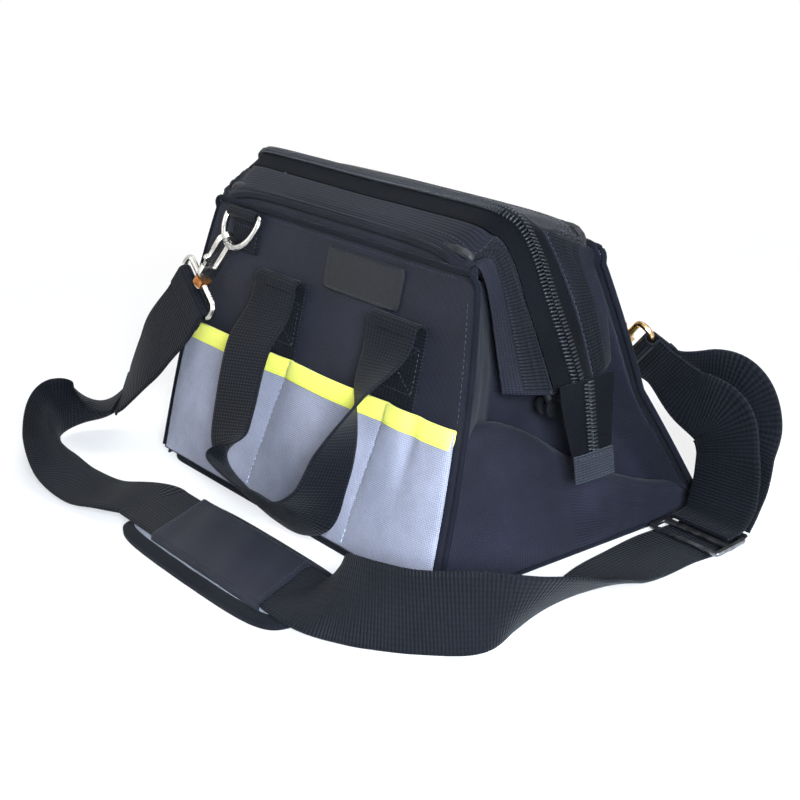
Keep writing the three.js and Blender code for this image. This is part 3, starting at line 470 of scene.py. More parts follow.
def box_path(left, low, right, high):
    """The four corners of a rectangle, and the first again."""
    return [(left, low), (right, low), (right, high), (left, high), (left, low)]


def turn_about(axis, degrees):
    """A turn about one axis, as three rows of numbers."""
    return np.array(Matrix.Rotation(math.radians(degrees), 3, axis))


def hook_frame(name):
    """The place of a D-ring's bar, and the origin and axes of the snap hook that hangs from its wire."""
    side = SIDES[name]
    loop = RING_WIRE + RING_PLAY + TAB_THICKNESS
    sag = sag_at(name, side["ring_s"])
    place = np.array([side["ring_x"], -SKIN - loop + sag, side["ring_s"]])
    grip = math.radians(side["grip"])
    contact = np.array([-RING_ARC * math.sin(grip), 0, -RING_DROP - RING_ARC * math.cos(grip)])
    origin = place + turn_about("X", -RING_TILT) @ contact
    axes = turn_about("Y", side["hook_tilt"]) @ turn_about("X", -side["hook_swing"])
    return place, origin, axes


HOOK_LENGTH = 35
SWIVEL_COLLAR = 2.5
SWIVEL_DROP = 12
SWIVEL_BAR = 2.1
HOOK_LOW = -HOOK_LENGTH - GAP - SWIVEL_COLLAR - SWIVEL_DROP
WRAP = SWIVEL_BAR + 3 * GAP
TAIL_DROP = 13


def strap_end_point(name, across, out, drop):
    """A point beside the swivel's bar: across it, out of its web's plane and down from it."""
    _, origin, axes = hook_frame(name)
    turn = axes @ turn_about("X", -SIDES[name]["end_swing"])
    low = origin + axes @ np.array([0, 0, HOOK_LOW])
    return placed(name, low + turn @ np.array([across, out, -drop]))


# Finishes

def linear(code):
    """An sRGB hex value turned to linear light."""
    levels = [int(code[k:k + 2], 16) / 255 for k in (0, 2, 4)]
    return tuple(v / 12.92 if v <= 0.04045 else ((v + 0.055) / 1.055) ** 2.4 for v in levels) + (1.0,)


def add_node(tree, kind, settings=None, links=None):
    """Adds a node, sets its properties and sockets, and links its inputs."""
    node = tree.nodes.new(kind)
    for key, value in (settings or {}).items():
        if isinstance(key, str) and hasattr(node, key):
            setattr(node, key, value)
        else:
            node.inputs[key].default_value = value
    for key, source in (links or {}).items():
        tree.links.new(source, node.inputs[key])
    return node


def new_material(name):
    """A new material with an empty tree."""
    material = bpy.data.materials.new(name)
    material.use_nodes = True
    tree = material.node_tree
    tree.nodes.clear()
    return material, tree


def finish_material(tree, settings, links):
    """Ends a material's tree with its shader and its output."""
    shader = add_node(tree, "ShaderNodeBsdfPrincipled", settings, links)
    add_node(tree, "ShaderNodeOutputMaterial", None, {"Surface": shader.outputs[0]})


def woven(name, low, high, pitch, weave_bump, sheen=0.25, roughness=0.8, rib=False, glitter=0.0):
    """Cloth on the piece's own UV map: threads over and under each other at a pitch in millimetres.

    The two wave patterns multiply to a plain weave; with rib, the cross threads stand out, as on webbing.
    Broad noise varies the dye, and fine noise roughens the threads.
    """
    material, tree = new_material(name)
    where = add_node(tree, "ShaderNodeTexCoord")
    # The wave node's own bands repeat every 0.31416 units of length at a scale of 1
    scale = 0.31416 / (pitch * MM)
    waves = []
    for direction, factor in (("X", 0.62 if rib else 1.0), ("Y", 1.0)):
        settings = {"wave_type": "BANDS", "bands_direction": direction, "wave_profile": "SIN",
                    "Scale": scale * factor, "Distortion": 0.6, "Detail": 1.0, "Detail Scale": 2.0}
        wave = add_node(tree, "ShaderNodeTexWave", settings, {"Vector": where.outputs["UV"]})
        waves.append(wave.outputs["Fac"])
    if rib:
        deep = add_node(tree, "ShaderNodeMath", {"operation": "MULTIPLY", 1: 0.35}, {0: waves[0]})
        height = add_node(tree, "ShaderNodeMath", {"operation": "ADD"}, {0: deep.outputs[0], 1: waves[1]})
    else:
        height = add_node(tree, "ShaderNodeMath", {"operation": "MULTIPLY"}, {0: waves[0], 1: waves[1]})
    broad = add_node(tree, "ShaderNodeTexNoise", {"Scale": 16.0, "Detail": 4.0, "Roughness": 0.6},
                     {"Vector": where.outputs["Object"]})
    fine = add_node(tree, "ShaderNodeTexNoise", {"Scale": 900.0, "Detail": 2.0},
                    {"Vector": where.outputs["Object"]})
    mixed = add_node(tree, "ShaderNodeMath", {"operation": "MULTIPLY_ADD", 1: 0.55},
                     {0: height.outputs[0], 2: broad.outputs["Fac"]})
    worn = add_node(tree, "ShaderNodeMath", {"operation": "MULTIPLY_ADD", 1: 0.25, 2: -0.28},
                    {0: fine.outputs["Fac"]})
    total = add_node(tree, "ShaderNodeMath", {"operation": "ADD"},
                     {0: mixed.outputs[0], 1: worn.outputs[0]})
    dye = add_node(tree, "ShaderNodeValToRGB", None, {"Fac": total.outputs[0]})
    dye.color_ramp.elements[0].position = 0.2
    dye.color_ramp.elements[0].color = linear(low)
    dye.color_ramp.elements[1].position = 0.95
    dye.color_ramp.elements[1].color = linear(high)
    threads = add_node(tree, "ShaderNodeBump", {"Strength": weave_bump, "Distance": 0.0004},
                       {"Height": height.outputs[0]})
    folds = add_node(tree, "ShaderNodeBump", {"Strength": 0.35, "Distance": 0.0015},
                     {"Height": broad.outputs["Fac"], "Normal": threads.outputs["Normal"]})
    finish_material(tree, {"Roughness": roughness, "Sheen Weight": sheen, "Sheen Roughness": 0.4,
                    "Specular IOR Level": 0.03 + 0.6 * glitter},
                    {"Base Color": dye.outputs["Color"], "Normal": folds.outputs["Normal"]})
    return material


def plain_cord(name, code, code_high, scale=700.0, roughness=0.7):
    """Thread, tape edge or moulded rubber: one dye with fine mottling and a fine grain in its bump."""
    material, tree = new_material(name)
    where = add_node(tree, "ShaderNodeTexCoord")
    grain = add_node(tree, "ShaderNodeTexNoise", {"Scale": scale, "Detail": 3.0},
                     {"Vector": where.outputs["Object"]})
    dye = add_node(tree, "ShaderNodeValToRGB", None, {"Fac": grain.outputs["Fac"]})
    dye.color_ramp.elements[0].position = 0.3
    dye.color_ramp.elements[0].color = linear(code)
    dye.color_ramp.elements[1].position = 0.75
    dye.color_ramp.elements[1].color = linear(code_high)
    relief = add_node(tree, "ShaderNodeBump", {"Strength": 0.25, "Distance": 0.0003},
                      {"Height": grain.outputs["Fac"]})
    finish_material(tree, {"Roughness": roughness, "Specular IOR Level": 0.2},
                    {"Base Color": dye.outputs["Color"], "Normal": relief.outputs["Normal"]})
    return material


def plated(name, code, code_worn, roughness):
    """Plated metal: bright, with faint wipe marks in its roughness and a little dulling."""
    material, tree = new_material(name)
    where = add_node(tree, "ShaderNodeTexCoord")
    marks = add_node(tree, "ShaderNodeTexNoise", {"Scale": 180.0, "Detail": 5.0, "Roughness": 0.7},
                     {"Vector": where.outputs["Object"]})
    tone = add_node(tree, "ShaderNodeValToRGB", None, {"Fac": marks.outputs["Fac"]})
    tone.color_ramp.elements[0].position = 0.35
    tone.color_ramp.elements[0].color = linear(code_worn)
    tone.color_ramp.elements[1].position = 0.6
    tone.color_ramp.elements[1].color = linear(code)
    rough = add_node(tree, "ShaderNodeMapRange", {"To Min": roughness * 0.7, "To Max": roughness * 1.5},
                     {"Value": marks.outputs["Fac"]})
    relief = add_node(tree, "ShaderNodeBump", {"Strength": 0.06, "Distance": 0.0004},
                      {"Height": marks.outputs["Fac"]})
    finish_material(tree, {"Metallic": 1.0}, {"Base Color": tone.outputs["Color"],
                    "Roughness": rough.outputs["Result"], "Normal": relief.outputs["Normal"]})
    return material


FINISHES = {}


def hex_of(colour):
    """A colour property, which holds sRGB shares, as a hex value."""
    return "".join(f"{int(round(min(max(c, 0), 1) * 255)):02x}" for c in colour)


def shade(code, factor):
    """The same hex colour, lighter or darker."""
    return hex_of([int(code[k:k + 2], 16) / 255 * factor for k in (0, 2, 4)])


# Pieces of the long sides

def cloth(name, middle, thickness, finish, nodes=(), body=None):
    """A slab in one of the finishes, dressed."""
    dress(slab(name, middle, thickness, FINISHES[finish]), nodes, body)


def build_panel(name):
    """Panel sheet: x runs to the narrowing edge, s up the panel, and it stands out by its swelling."""
    t = np.linspace(-1, 1, 121)[None, :]
    s = np.linspace(PANEL_FOOT, PANEL_TOP, 101)[:, None]
    corner = np.clip((np.abs(t) - 0.93) / 0.07, 0, 1) ** 2
    cut = np.maximum(s - PANEL_TOP + CORNER_REACH, 0) / CORNER_REACH
    top = s - CORNER_CUT * corner * cut
    x = t * (edge_x(top) + EDGE_PAST)
    middle = on_panel(name, x, top, puff(name, x, top))
    cloth(f"{name}_panel_cloth", middle, CLOTH, "canvas", [f"{name}_panel"])


def build_hem(name):
    """The hem at a side's top: a thin tube of cloth round the bar, and the strip from it to the panel."""
    bar = BARS[name]
    foot = placed(name, [0, sag_at(name, PANEL_TOP), PANEL_TOP - 1])
    drop = unit(foot - bar)
    start = math.atan2(drop[2], drop[1])
    angle = start + np.linspace(0, 2 * math.pi, 33)
    ring = bar + (ROD + 0.2) * np.stack([0 * angle, np.cos(angle), np.sin(angle)], axis=1)
    section = np.concatenate([[foot, (foot + ring[0]) / 2], ring])
    x = np.linspace(-1, 1, 40)[:, None, None] * np.array([RIDGE_HALF * 0.88, 0, 0])
    cloth(f"{name}_hem_cloth", section[None] + x, 0.1, "canvas", body=f"{name}_side")


def piping_line(name):
    """The cord beside a panel's edge: up one side, round the corner, along the top and down again."""
    top = PANEL_TOP - 14
    out = PIPING + GAP
    heights = np.linspace(PANEL_FOOT + PIPING, top, 60)
    up = np.stack([edge_x(heights) + out, sag_at(name, heights), heights], axis=1)
    front = -CLOTH / 2 - out
    corner = [(2.1, 0.35, 2.5), (1.0, 0.75, 4.8), (-1, 0.95, 6.8), (-4, 1, 8)]
    turn = [[edge_x(top) + x, sag_at(name, top + rise) + front * y, top + rise] for x, y, rise in corner]
    x = edge_x(top) * np.array([0.85, 0.6, 0.3, 0.0])
    ridge = top + 8
    y = sag_at(name, ridge) + front - 0.9 * puff(name, x, ridge)
    half = np.array([*up, *turn, *np.stack([x, y, 0 * x + ridge], axis=1)], float)
    return np.concatenate([half, half[-2::-1] * [-1, 1, 1]])


def build_panel_piping(name):
    """Piping: a round tube carried along a smooth curve through the piping line."""
    line = evenly(spline(piping_line(name), 420), 320)
    obj = tube(f"{name}_piping_cord", placed(name, line), PIPING, FINISHES["piping"])
    dress(obj, [f"{name}_panel_piping"])


STITCH_LINES = ((-18, -50), (92, 68))


def pocket_line(index, s):
    """Where a row of division stitches runs: it leans from its place at the pocket's top to its foot."""
    top, foot = STITCH_LINES[index]
    return foot + (top - foot) * np.asarray(s, float) / POCKET_HEIGHT


def pocket_depth(x, s):
    """How far the pocket stands off the panel: each bay swells as the root of 4t(1-t) between its seams."""
    x, s = broadcast(x, s)
    limits = [-edge_x(s) + POCKET_SIDE, pocket_line(0, s), pocket_line(1, s), edge_x(s) - POCKET_SIDE]
    depth = np.zeros_like(x)
    for low, high in zip(limits[:-1], limits[1:]):
        t = np.clip((x - low) / (high - low), 0, 1)
        depth = np.maximum(depth, (4 * t * (1 - t)) ** 0.5)
    foot = np.clip((s - POCKET_BOTTOM) / 26, 0, 1) ** 0.5
    loose = 0.9 + 0.1 * np.sin(0.09 * s + 0.05 * x) * np.sin(0.05 * x - 0.03 * s)
    line = 124 - 0.06 * (POCKET_HEIGHT - s)
    crease = np.exp(-(((x - line) / 7) ** 2)) * np.clip((s - 40) / 45, 0, 1)
    return 2.6 + (POCKET_DEPTH - 3.1) * depth * foot * loose - 2.2 * crease


def build_pocket(name):
    """Pocket sheet over the panel, from seam to seam, standing off it by its depth."""
    t = np.linspace(-1, 1, 241)[None, :]
    s = np.linspace(POCKET_BOTTOM, POCKET_HEIGHT - 0.6, 81)[:, None]
    x = t * (edge_x(s) - POCKET_SIDE + 0.5)
    middle = on_panel(name, x, s, pocket_depth(x, s) + puff(name, x, s))
    cloth(f"{name}_pocket_cloth", middle, 1.3, "pocket", [f"{name}_pocket"])


def build_binding(name):
    """Lime tape folded over the pocket's top: a long thin loop carried along the pocket's edge."""
    x = np.linspace(-1, 1, 241)[:, None] * (edge_x(POCKET_HEIGHT) - POCKET_SIDE + 0.6)
    turn = np.radians(np.linspace(0, 180, 7))
    drop = np.concatenate([[BINDING_HEIGHT, BINDING_HEIGHT * 0.5], -np.sin(turn) * 1.0,
                           [BINDING_HEIGHT * 0.5, BINDING_HEIGHT - 1]])
    out = np.concatenate([[1.0, 1.25], np.cos(turn) * 1.1, [-1.1, -1.0]])
    s = POCKET_HEIGHT - drop[None, :]
    base = pocket_depth(x, np.minimum(s, POCKET_HEIGHT - 1)) + puff(name, x, POCKET_HEIGHT + 0 * s)
    middle = on_panel(name, x, s, base + out[None, :] * 1.15)
    cloth(f"{name}_pocket_tape", middle, 0.8, "binding", [f"{name}_pocket_binding"])


def build_side_threads(name):
    """Pale thread down the pocket's divisions, lime along its tape and dark along the panel's edges."""
    tape_foot = POCKET_HEIGHT - BINDING_HEIGHT
    rows = []
    for index in range(2):
        s = np.linspace(POCKET_BOTTOM + 2, POCKET_HEIGHT - 0.5, 60)
        x = pocket_line(index, s)
        over_tape = 1.1 * smooth(s, tape_foot - 1, tape_foot + 1)
        out = pocket_depth(x, np.minimum(s, POCKET_HEIGHT - 1)) + puff(name, x, s) + 0.85 + over_tape
        rows.append(panel_row(name, x, s, out, 3.6, 0.72))
    sew(f"{name}_division_thread", rows, 0.38, "pale", f"{name}_side")
    x = np.linspace(-1, 1, 200) * (edge_x(POCKET_HEIGHT) - POCKET_SIDE - 2)
    low = tape_foot + 1.6
    out = pocket_depth(x, low) + puff(name, x, POCKET_HEIGHT) + 1.75
    rows = [panel_row(name, x, low, out, 3.4)]
    sew(f"{name}_tape_thread", rows, 0.3, "lime", f"{name}_side")
    rows = []
    for hand in (-1, 1):
        s = np.linspace(POCKET_HEIGHT + 4, PANEL_TOP - 22, 50)
        x = hand * (edge_x(s) - 5)
        rows.append(panel_row(name, x, s, puff(name, x, s) + 1.2, 3.4))
    x = np.linspace(-1, 1, 120) * (edge_x(PANEL_TOP) - 12)
    s = PANEL_TOP - 11
    rows.append(panel_row(name, x, s, puff(name, x, s) + 1.2, 3.4))
    sew(f"{name}_edge_thread", rows, 0.3, "dark", f"{name}_side")


def webbing(name, stations, count, node, thickness, width=WEB_WIDTH):
    """A length of webbing that stands for one node and rides with its body."""
    obj, _ = band(name, stations, width, thickness, FINISHES["webbing"], count)
    dress(obj, [node])


def handle_line(name):
    """A handle's foot: up from the pocket, over in a half circle and down to the loop's lip."""
    middle = SKIN + HANDLE_THICKNESS / 2
    crest = sag_at(name, HANDLE_FOLD)
    angle = np.radians(np.linspace(0, 180, 13))
    over = np.stack([crest - middle - FOLD_RADIUS + FOLD_RADIUS * np.cos(angle),
                     HANDLE_FOLD + FOLD_RADIUS * np.sin(angle)], axis=1)
    foot = [[sag_at(name, s) - middle, s] for s in np.linspace(HANDLE_FOOT - 4, HANDLE_FOLD - 4, 9)]
    return np.array([*foot, *over, [crest - middle - 2 * FOLD_RADIUS, HANDLE_LIP]])


def build_handle(name):
    """Two sewn feet and the loop between them, each flat webbing along its line."""
    crest = float(sag_at(name, HANDLE_FOLD))
    middle = SKIN + HANDLE_THICKNESS / 2
    hang = crest - middle - 2 * FOLD_RADIUS
    start = HANDLE_LIP - HANDLE_GAP
    for x, hand in zip(HANDLE_XS, ("left", "right")):
        line = handle_line(name)
        swell = puff(name, x, np.minimum(line[:, 1], HANDLE_FOLD))
        local = np.stack([np.full(len(line), x), line[:, 0] - swell, line[:, 1]], axis=1)
        stations = [(p, [1, 0, 0]) for p in placed(name, local)]
        webbing(f"{name}_handle_web_{hand}", stations, 90, f"{name}_handle_foot_{hand}", HANDLE_THICKNESS)
        left, low, right, high = x - 21, 113, x + 21, 141
        paths = (box_path(left, low, right, high), [(left, low), (right, high)], [(right, low), (left, high)])
        out = middle + HANDLE_THICKNESS / 2 + 0.15
        rows = [panel_path(name, path, 60, out, 3.2) for path in paths]
        sew(f"{name}_handle_thread_{hand}", rows, 0.32, "dark", f"{name}_side")
    left, right = HANDLE_XS
    top = start + HANDLE_GAP - 0.4
    route = [([left, hang, top], [1, 0, 0]),
             ([left + 0.6, hang - 2.3, start - 13], [1, 0, 0]),
             ([left + 4, -26, 108], [1, 0, 0]),
             ([left + 11, -33, 68], [1, -0.05, 0]),
             ([left + 16, -36.5, 46], [0.98, -0.2, 0]),
             ([left + 24, -39.5, 32], [0.5, -0.8, 0.35]),
             ([left + 42, -41, 25], [0, -0.84, 0.54]),
             ([left + 68, -42, 22], [0, -0.84, 0.54]),
             ([right - 36, -42, 23], [0, -0.84, 0.54]),
             ([right - 15, -41, 29], [0.1, -0.88, 0.4]),
             ([right - 4, -38, 45], [0.3, -0.93, 0.15]),
             ([right - 1, -33, 72], [0.45, -0.9, 0]),
             ([right + 1, -26, 106], [0.83, -0.56, 0]),
             ([right + 0.6, hang - 2.6, start - 13], [0.99, -0.14, 0]),
             ([right, hang, top], [1, 0, 0])]
    zero = placed(name, [0, 0, 0])
    stations = [(placed(name, p), placed(name, way) - zero) for p, way in route]
    webbing(f"{name}_handle_loop", stations, 220, f"{name}_handle", HANDLE_THICKNESS)


def build_patch():
    """Bare moulded badge: a rounded slab with a raised rim, following the panel's swelling."""
    width, height = PATCH_SIZE
    a = np.linspace(-1, 1, 61)[None, :]
    b = np.linspace(-1, 1, 31)[:, None]
    square = np.maximum(np.abs(a), np.abs(b))
    round_off = 1 - 0.035 * np.clip(np.abs(a) * np.abs(b) - 0.72, 0, 1) / 0.28
    x = PATCH_CENTRE[0] + a * width / 2 * round_off
    s = PATCH_CENTRE[1] + b * height / 2 * round_off
    rim = 0.5 * smooth(square, 0.86, 0.9) * (1 - smooth(square, 0.95, 1.0))
    middle = on_panel("front", x, s, SKIN + 0.55 + rim + puff("front", x, s))
    cloth("front_badge", middle, 1.1, "badge", ["front_patch"])
    centre_x, centre_s = PATCH_CENTRE
    path = box_path(centre_x - 40, centre_s - 11.6, centre_x + 40, centre_s + 11.6)
    rows = [panel_path("front", path, 120, SKIN + 1.25, 2.8)]
    sew("front_badge_thread", rows, 0.24, "dark", "front_side")


def build_ring_and_tab(name):
    """D-ring: an arc and a bar of round wire. Tab: webbing folded round the bar and sewn to the panel."""
    side = SIDES[name]
    place, _, _ = hook_frame(name)
    tilt = turn_about("X", -RING_TILT)
    angle = np.radians(np.linspace(0, -180, 40))
    arc = np.stack([RING_ARC * np.cos(angle), 0 * angle, RING_ARC * np.sin(angle) - RING_DROP], axis=1)
    bar = np.linspace(-19, 19, 12)[:, None] * np.array([1, 0, 0])
    line = np.concatenate([arc, [[-20.6, 0, -1.0]], bar, [[20.6, 0, -1.0]]])
    points = placed(name, place + line @ tilt.T)
    obj = tube(f"{name}_d_ring_wire", points, RING_WIRE, FINISHES["silver"], sides=14, closed=True)
    dress(obj, [f"{name}_ring"])
    radius = RING_WIRE + RING_PLAY + TAB_THICKNESS / 2
    angle = np.radians(np.linspace(262, 0, 25))
    round_bar = np.stack([np.cos(angle) * radius, np.sin(angle) * radius], axis=1)
    path = np.array([*round_bar, *[[radius, -z] for z in np.linspace(3, 25, 8)]])
    x = side["ring_x"]
    local = np.stack([np.full(len(path), float(x)), place[1] + path[:, 0], place[2] + path[:, 1]], axis=1)
    stations = [(p, [1, 0, 0]) for p in placed(name, local)]
    webbing(f"{name}_ring_web", stations, 60, f"{name}_ring_tab", TAB_THICKNESS, TAB_WIDTH)
    low = side["ring_s"] - 23
    path = box_path(x - 16, low, x + 16, low + 15)
    rows = [panel_path(name, path, 70, SKIN + TAB_THICKNESS + 0.15, 3.0, swell=0)]
    sew(f"{name}_ring_thread", rows, 0.3, "dark", f"{name}_side")


def build_strap_end(name):
    """The strap's end: webbing wrapped round the swivel's bar and sewn back on itself."""
    radius = WRAP + STRAP_THICKNESS / 2
    angle = np.radians(np.linspace(180, -90, 21))
    turn = np.stack([radius * np.cos(angle), radius * np.sin(angle)], axis=1)
    flat_y = -radius + STRAP_THICKNESS / 2
    down = [[-radius, -z] for z in np.linspace(TAIL_DROP, 1.5, 6)]
    back = [[-radius + STRAP_THICKNESS * 0.9, -4.2], [flat_y + 1.1, -8], [flat_y + 1.0, -TAIL_DROP]]
    path = np.array([*down, *turn, *back])
    zero = strap_end_point(name, 0, 0, 0)
    way = strap_end_point(name, 1, 0, 0) - zero
    points = np.array([strap_end_point(name, 0, y, -z) for y, z in path])
    stations = [(point, way) for point in points]
    webbing(f"{name}_strap_loop", stations, 90, f"{name}_strap_end", STRAP_THICKNESS, WEB_WIDTH - 0.6)


# Pieces of the ends

FOLD_PLANES = {"front": 136, "rear": 131}
GUSSET_REACH = 108
GUSSET_ROOM = 36


def gusset_grid(name, hand):
    """Half of an end's gusset: from the panel's edge it tucks in under the frame's leg and lies flat there.

    x goes from the panel's edge to the fold's plane by a smooth step of y; y runs to a reach that follows the
    gap between the panels; s runs from the floor's line to the panel's top.
    """
    side = SIDES[name]
    plane = FOLD_PLANES[name]
    leg = math.tan(LEG_ANGLE[name] + side["lean"])
    top = PANEL_TOP - 10
    start = CLOTH / 2 + LINING / 2 + side["seam"] * GAP
    v = np.array([0, 0.12, 0.3, 0.5, 0.7, 0.88, 1])[:, None]
    u = np.array([0, 0.08, 0.2, 0.36, 0.6, 1])[None, :]
    rough = PANEL_FOOT + (top - PANEL_FOOT) * v
    between = (BAG_WIDTH - ((FRONT_BAR_IN + REAR_BAR_IN) * rough) / PANEL_HEIGHT - REAR_SAG) * 0.95
    reach = np.minimum(GUSSET_REACH, between - GUSSET_ROOM)
    y = start + (reach - start) * u
    foot = (PANEL_FOOT + y * math.sin(side["lean"])) / math.cos(side["lean"]) + 1.5
    s = foot + (top - 16 * smooth(u, 0.2, 1) - foot) * v
    fold_end = np.clip(leg * (PANEL_HEIGHT - s) - 5, 6, side["tuck"])
    level = edge_x(s) - LINING / 2 - GAP - 2
    x = level + (np.minimum(level, plane) - level) * smooth(y, start, fold_end)
    grid = np.stack([hand * x, y + sag_at(name, s) * (1 - smooth(y, 0, 60)), s], axis=-1)
    return placed(name, grid)


def creased(grid, depth, seed, closer=1.0):
    """Cloth creases: the grid moves along its normals by two slow waves' product, which fades at its rim."""
    rows, columns = grid.shape[:2]
    v = np.linspace(0, 1, rows)[:, None]
    u = np.linspace(0, 1, columns)[None, :]
    fade = np.sin(math.pi * u) ** 0.6 * np.sin(math.pi * v) ** 0.6
    wave = np.sin(9 * u * closer + 5 * v + seed) * np.sin(6 * v * closer - 4 * u + 2.1 * seed)
    fine = 0.4 * np.sin(23 * u + 11 * v * closer + 3 * seed) * np.sin(17 * v - 7 * u)
    return grid + grid_normals(grid) * ((wave + fine) * fade * depth)[..., None]


def halves(name, grid, node):
    """A cloth between the long sides, in a front and a rear half; the front half stands for the node."""
    middle = int(np.argmin(np.abs(grid[..., 1]).mean(axis=0)))
    for side, sign, part in (("front", -1, grid[:, :middle + 1]), ("rear", 1, grid[:, middle:])):
        obj = slab(f"{name}_{side}", part, LINING, FINISHES["canvas"], rim=1.0)
        stretch(obj, [node] if side == "front" else [])


def build_foot(hand, word):
    """A gusset's foot: cloth that stands on the base's end, bulges and rolls in at its crest."""
    front_crest, crest_fall, roll_radius = 96, 78, 7
    v = np.linspace(0, 1.35, 56)[:, None]
    u = np.linspace(0, 1, 90)[None, :]
    crest = front_crest - crest_fall * smooth(u, 0.15, 1.05)
    up = np.minimum(v, 1)
    roll = np.clip((v - 1) / 0.35, 0, 1) * math.radians(150)
    bulge = np.sin(math.pi * u) ** 0.7 * np.sin(math.pi * np.minimum(up * 0.75, 1))
    side_roll = 9 * (1 - np.sin(math.pi * np.clip(u, 0.001, 0.999)) ** 0.35)
    z = 1.2 + (crest - 8.2) * up + roll_radius * np.sin(roll)
    front_y = on_panel("front", 0, z, 0)[..., 1] + 1.5
    rear_y = on_panel("rear", 0, z, 0)[..., 1] - 1.5
    y = front_y + (rear_y - front_y) * u
    sewn = edge_x(z) - 2
    free = np.sin(math.pi * u) ** 0.6
    x = sewn + (BAG_LENGTH / 2 - 1.6 - 12 * up - sewn) * free
    x = hand * (x + 4.5 * bulge - 0.4 * side_roll * up * free - roll_radius * (1 - np.cos(roll)))
    grid = creased(np.stack([x, y, z], axis=-1), 0.9, 0.7 * hand, 1.6)
    halves(f"foot_cloth_{word}", grid, f"gusset_foot_{word}")


def build_fold(hand, word):
    """The cloth folded in between a gusset's halves: upright, and narrower at its top."""
    low = CLOTH + 3 + 3 * GAP
    top = BARS["rear"][2] - 8
    v = np.array([0, 0.5, 1])[:, None]
    u = np.array([0, 0.5, 1])[None, :]
    y = (-70 + 32 * v) + (140 - 76 * v) * u
    grid = np.stack(np.broadcast_arrays(hand * 126.0, y, low + (top - low) * v + 0 * u), axis=-1)
    grid = creased(finer(grid, 60, 60), 0.8, 2.2 * hand)
    halves(f"fold_cloth_{word}", grid, f"gusset_fold_{word}")


def build_gussets():
    """Gussets: a creased half on each end of each long side, and a foot and a fold at each end."""
    for name, seed in (("front", 2), ("rear", 0.4)):
        for hand, word in HANDS:
            grid = creased(finer(gusset_grid(name, hand), 110, 90), 1.1, 1.3 * hand + seed)
            cloth(f"{name}_gusset_cloth_{word}", grid, LINING, "canvas", [f"{name}_gusset_{word}"])
    for hand, word in HANDS:
        build_foot(hand, word)
        build_fold(hand, word)


def build_base():
    """Cord round the base: a rounded rectangle of arcs, on the floor."""
    half = (BAG_LENGTH / 2 - PIPING, BAG_WIDTH / 2 - PIPING)
    radius = BASE_CORNER - PIPING
    line = []
    for sx, sy, start in ((1, -1, -90), (1, 1, 0), (-1, 1, 90), (-1, -1, 180)):
        angle = np.radians(start + np.linspace(0, 90, 14))
        line.append(np.stack([sx * (half[0] - radius) + radius * np.cos(angle),
                              sy * (half[1] - radius) + radius * np.sin(angle), 0 * angle + PIPING], axis=1))
    line = np.concatenate(line)
    obj = tube("base_piping_cord", line, PIPING, FINISHES["piping"], closed=True)
    dress(obj, ["base_piping"])


# The mouth: trim, zip tape and teeth

RIDGE_Y = -19
RIDGE_Z = 213
RIDGE_HALF = 131
RIDGE = [[0, RIDGE_Y, RIDGE_Z], [RIDGE_HALF * 0.55, RIDGE_Y, RIDGE_Z + 0.5], [RIDGE_HALF, RIDGE_Y, RIDGE_Z],
         [RIDGE_HALF + 5, RIDGE_Y + 1, RIDGE_Z - 1.5], [142, -15.5, 207], [148, -10, 190], [156, -6, 162],
         [164, -2, 136], [173, 1, 106]]
ZIP_PITCH = 1.15
SEAM_COLUMN = -4
TRIM_EDGE = {
    "front": [[143, -50, 191], [148, -47, 182], [150, -45, 162], [151, -43, 136], [152, -41, 112]],
    "rear": [[142, 41, 180], [147.5, 34, 169], [150, 39, 157], [151, 42, 136], [152, 43, 112]],
}


# Round the bar: degrees at the trim's free edge, more radius, share of the ridge's length, and drop
BAR_STATIONS = ((235, 0, 0.94, 0), (235, 0, 0.94, 0), (205, 0.8, 0.93, 3.5), (205, 2, 0.985, 12))


def mouth_rows(name):
    """Rows across one side's trim: round the bar on top, and from the free edge to the zip on the ends."""
    sign = -1 if name == "front" else 1
    bar = BARS[name]
    sleeve = ROD + GAP + LINING / 2
    half = []
    for i, knot in enumerate(RIDGE):
        zip_point = np.array(knot, float) + [0, sign * 2 * GAP, 0]
        if i < len(BAR_STATIONS):
            start, wider, share, drop = BAR_STATIONS[i]
            degrees = start + (118 - start) * np.linspace(0, 1, 5)
            angle = np.radians(degrees if name == "front" else 180 - degrees)
            radius = sleeve + wider
            outer = np.stack([np.full(5, zip_point[0] * share), bar[1] + radius * np.cos(angle),
                              bar[2] - drop + radius * np.sin(angle)], axis=1)
        else:
            edge = np.array(TRIM_EDGE[name][i - len(BAR_STATIONS)], float)
            across = zip_point - edge
            reach = (np.linalg.norm(across) - TAPE_WIDTH) / np.linalg.norm(across)
            t = np.linspace(0, 1, 5)[:, None]
            bow = np.concatenate([np.sin(math.pi * t) * 1.5, 0 * t, 0 * t], axis=1)
            outer = edge + across * t * reach + bow
        way = unit(outer[4] - zip_point)
        seam = zip_point + way * TAPE_WIDTH
        if i >= len(BAR_STATIONS):
            outer[4] = (outer[3] + seam) / 2
        half.append((np.array([*outer, seam]), zip_point, way))
    flip = np.array([-1, 1, 1])
    rows = [(trim * flip, point * flip, way * flip) for trim, point, way in half[:0:-1]] + half
    return [np.array([row[k] for row in rows]) for k in range(3)]


